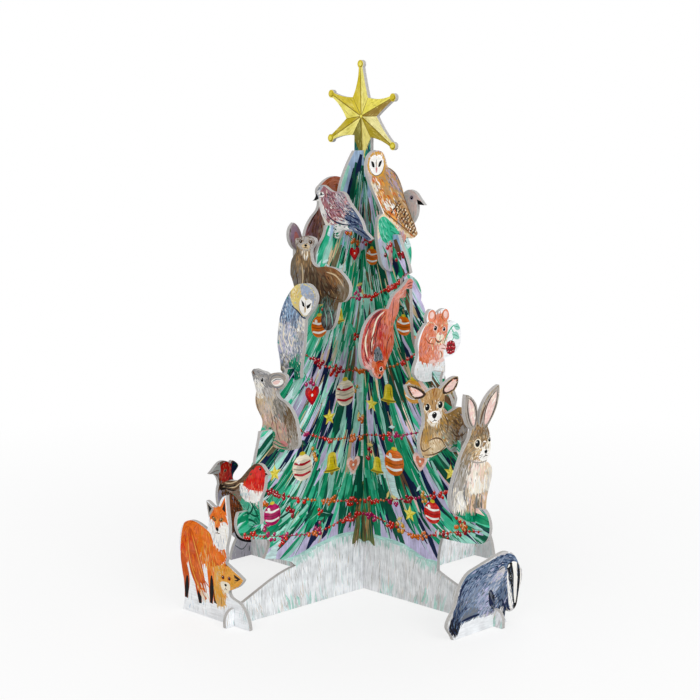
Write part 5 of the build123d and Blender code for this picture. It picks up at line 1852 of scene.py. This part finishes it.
def brush_wash_group():
    """Paint that streaks along each brush mark and pools in soft blooms."""
    group, start, end = new_group(
        "Brush wash",
        [
            ("Color", "NodeSocketColor", None), ("Place", "NodeSocketVector", None),
            ("Streak", "NodeSocketFloat", 0.2), ("Bloom", "NodeSocketFloat", 0.2),
        ],
        [("Color", "NodeSocketColor")],
    )
    stretch = group.nodes.new("ShaderNodeVectorMath")
    stretch.operation = "MULTIPLY"
    feed(group, stretch, {0: start.outputs["Place"], 1: STREAK_STRETCH})
    streaks = add_noise(group, stretch.outputs[0], 1.0, 3.0, 0.6)
    blooms = add_noise(group, object_place(group), BLOOM_SCALE, 4.0, 0.6)
    streak, bloom = (
        add_math(group, "MULTIPLY", add_math(group, "SUBTRACT", noise, 0.5), start.outputs[label])
        for noise, label in ((streaks, "Streak"), (blooms, "Bloom"))
    )
    change = add_math(group, "MULTIPLY_ADD", add_math(group, "ADD", streak, bloom), 2.0, 1.0)
    tone = add_node(group, "ShaderNodeHueSaturation", {
        "Color": start.outputs["Color"],
        "Value": change,
        "Saturation": add_math(group, "SUBTRACT", 1.0, bloom),
    })
    feed(group, end, {"Color": tone.outputs["Color"]})
    return group


def paper_grain_group():
    """Fine tooth of the paper, as a height and as a value for its sheen."""
    group, start, end = new_group(
        "Paper grain",
        [("Scale", "NodeSocketFloat", TOOTH_SCALE)],
        [("Height", "NodeSocketFloat"), ("Sheen", "NodeSocketFloat")],
    )
    spot = object_place(group)
    sockets = {"Vector": spot, "Scale": start.outputs["Scale"], "Detail": 4.0}
    fine = add_node(group, "ShaderNodeTexNoise", sockets).outputs["Fac"]
    broad = add_noise(group, spot, SHEEN_SCALE, 2.0)
    sheen = add_math(group, "MULTIPLY_ADD", broad, *SHEEN_RANGE)
    feed(group, end, {"Height": fine, "Sheen": sheen})
    return group


def new_material(name):
    """Make a material and return it with its nodes and its shader."""
    material = bpy.data.materials.new(name)
    material.use_nodes = True
    tree = material.node_tree
    return material, tree, tree.nodes["Principled BSDF"]


def print_material(name, streak, bloom):
    """Printed card: brushed colour on a fine satin paper."""
    material, tree, shader = new_material(name)
    wash = place_group(tree, BRUSH_WASH, {
        "Color": corner_value(tree, "print_color", "Color"),
        "Place": corner_value(tree, "brush_place", "Vector"),
        "Streak": streak,
        "Bloom": bloom,
    })
    grain = place_group(tree, PAPER_GRAIN, {"Scale": TOOTH_SCALE})
    feed(tree, shader, {
        "Base Color": wash.outputs["Color"],
        "Roughness": grain.outputs["Sheen"],
        "Normal": add_bump(tree, grain.outputs["Height"], TOOTH_STRENGTH, TOOTH_DEPTH),
        "Specular IOR Level": PAPER_SPECULAR,
    })
    return material


def edge_material():
    """Cut edge of grey board: layered fibres, with a pale strip along each face."""
    material, tree, shader = new_material("cut board edge")
    fibres = add_noise(tree, object_place(tree), FIBRE_SCALE, 5.0, 0.7)
    tone = add_node(tree, "ShaderNodeHueSaturation", {
        "Color": corner_value(tree, "print_color", "Color"),
        "Value": add_math(tree, "MULTIPLY_ADD", fibres, *FIBRE_RANGE),
    })
    feed(tree, shader, {
        "Base Color": tone.outputs["Color"],
        "Normal": add_bump(tree, fibres, FIBRE_STRENGTH, FIBRE_DEPTH),
        "Roughness": EDGE_ROUGHNESS,
    })
    return material


def floor_material():
    """A floor that keeps shadows but looks near white to the camera, and white far out."""
    material, tree, shader = new_material("pale floor")
    feed(tree, shader, {
        "Base Color": (*linear(FLOOR_COLOR), 1),
        "Roughness": FLOOR_ROUGHNESS,
        "Specular IOR Level": 0.0,
    })
    away = tree.nodes.new("ShaderNodeVectorMath")
    away.operation = "LENGTH"
    feed(tree, away, {0: object_place(tree)})
    fade = add_node(tree, "ShaderNodeMapRange", {
        "Value": away.outputs["Value"],
        "From Min": FADE_START,
        "From Max": FADE_END,
        "To Min": FLOOR_GLOW,
    })
    light = add_node(tree, "ShaderNodeEmission", {"Strength": 1.0})
    blend = add_node(tree, "ShaderNodeMixShader", {
        "Fac": add_math(tree, "MULTIPLY", seen_directly(tree), fade.outputs["Result"]),
        1: shader.outputs[0],
        2: light.outputs[0],
    })
    feed(tree, tree.nodes["Material Output"], {"Surface": blend.outputs[0]})
    return material


def make_floor():
    """Lay the floor just under the feet of the tree."""
    corners = [(x * FLOOR_HALF, y * FLOOR_HALF, 0) for x, y in ((-1, -1), (1, -1), (1, 1), (-1, 1))]
    mesh = bpy.data.meshes.new("floor")
    mesh.from_pydata(corners, [], [(0, 1, 2, 3)])
    mesh.materials.append(floor_material())
    floor = add_object("floor", mesh)
    floor.location.z = FLOOR_DROP


def make_world():
    """Make a soft even light that the camera sees as plain white."""
    world = bpy.data.worlds.new("studio")
    bpy.context.scene.world = world
    world.use_nodes = True
    tree = world.node_tree
    white = (1, 1, 1, 1)
    ground = feed(tree, tree.nodes["Background"], {"Color": white, "Strength": WORLD_LIGHT})
    seen_ground = add_node(tree, "ShaderNodeBackground", {"Color": white})
    blend = add_node(tree, "ShaderNodeMixShader", {
        "Fac": seen_directly(tree),
        1: ground.outputs[0],
        2: seen_ground.outputs[0],
    })
    feed(tree, tree.nodes["World Output"], {"Surface": blend.outputs[0]})


def aim(thing, spot):
    """Put a lamp or the camera on a spot and turn it to the tree."""
    thing.location = spot
    thing.rotation_euler = (TARGET - Vector(spot)).to_track_quat("-Z", "Y").to_euler()


def make_stage():
    """Make the floor, world, lamps and camera."""
    make_floor()
    make_world()
    for name, spot, size, power in LAMPS:
        light = bpy.data.lights.new(name, "AREA")
        light.size = size
        light.energy = power
        aim(add_object(name, light), spot)
    data = bpy.data.cameras.new("camera")
    data.lens = LENS
    data.sensor_width = SENSOR_WIDTH
    data.clip_end = CLIP_END
    camera = add_object("camera", data)
    aim(camera, EYE)
    bpy.context.scene.camera = camera
    bpy.context.scene.view_settings.view_transform = "Standard"


BRUSH_WASH = brush_wash_group()
PAPER_GRAIN = paper_grain_group()
TREE_PAINT = print_material("brushed tree print", streak=0.60, bloom=0.42)
CARD_PAINT = print_material("brushed card print", streak=0.26, bloom=0.24)
STAR_PAINT = print_material("washed star print", streak=0.22, bloom=0.34)
BOARD_EDGE = edge_material()

# Each card is made with its place in this list as its seed
CARD_PAINTERS = {
    "thrush": paint_thrush, "marten": paint_marten, "blue_owl": paint_blue_owl,
    "mouse": paint_mouse, "robin": paint_robin, "fox": paint_fox, "barn_owl": paint_barn_owl,
    "squirrel": paint_squirrel, "harvest_mouse": paint_harvest_mouse, "fawn": paint_fawn,
    "hare": paint_hare, "badger": paint_badger, "red_squirrel": paint_red_squirrel,
    "rabbit": paint_rabbit, "wren": paint_wren, "pheasant": paint_pheasant, "dove": paint_dove,
    "finch": paint_finch, "dormouse": paint_dormouse, "stoat": paint_stoat,
    "hedgehog": paint_hedgehog,
}
# Each panel: (node, seed, ornaments, snow, odd colours among its fronds). The greyer snow of the top
# panel is partly painted shade.
PANELS = (
    # The pale frond tones of the bottom panel are partly painted light, the dark ones of the top
    # panel partly painted shade
    ("bottom_slot_panel", 70, ORNAMENTS[0], SNOW, (FROST, AQUA, LILAC)),
    ("top_slot_panel", 71, ORNAMENTS[1], mix(SNOW, ASH, 0.4), (PINE, UMBER, NAVY)),
)
STAR_SEED = 99

make_stage()
for seed, (animal, paint) in enumerate(CARD_PAINTERS.items()):
    card = Print(animal + "_card", ASH, seed)
    paint(card)
    card.board(animal + "_card_print", (CARD_PAINT, BOARD_EDGE))
for node, seed, ornaments, snow, light_and_shade_tones in PANELS:
    panel = Print(node, FROST, seed)
    paint_tree(panel, ornaments, snow, light_and_shade_tones)
    panel.board(node + "_print", (TREE_PAINT, BOARD_EDGE))
star = Print("star_topper", STRAW, STAR_SEED)
paint_star(star)
star.board("star_topper_print", (STAR_PAINT, BOARD_EDGE))
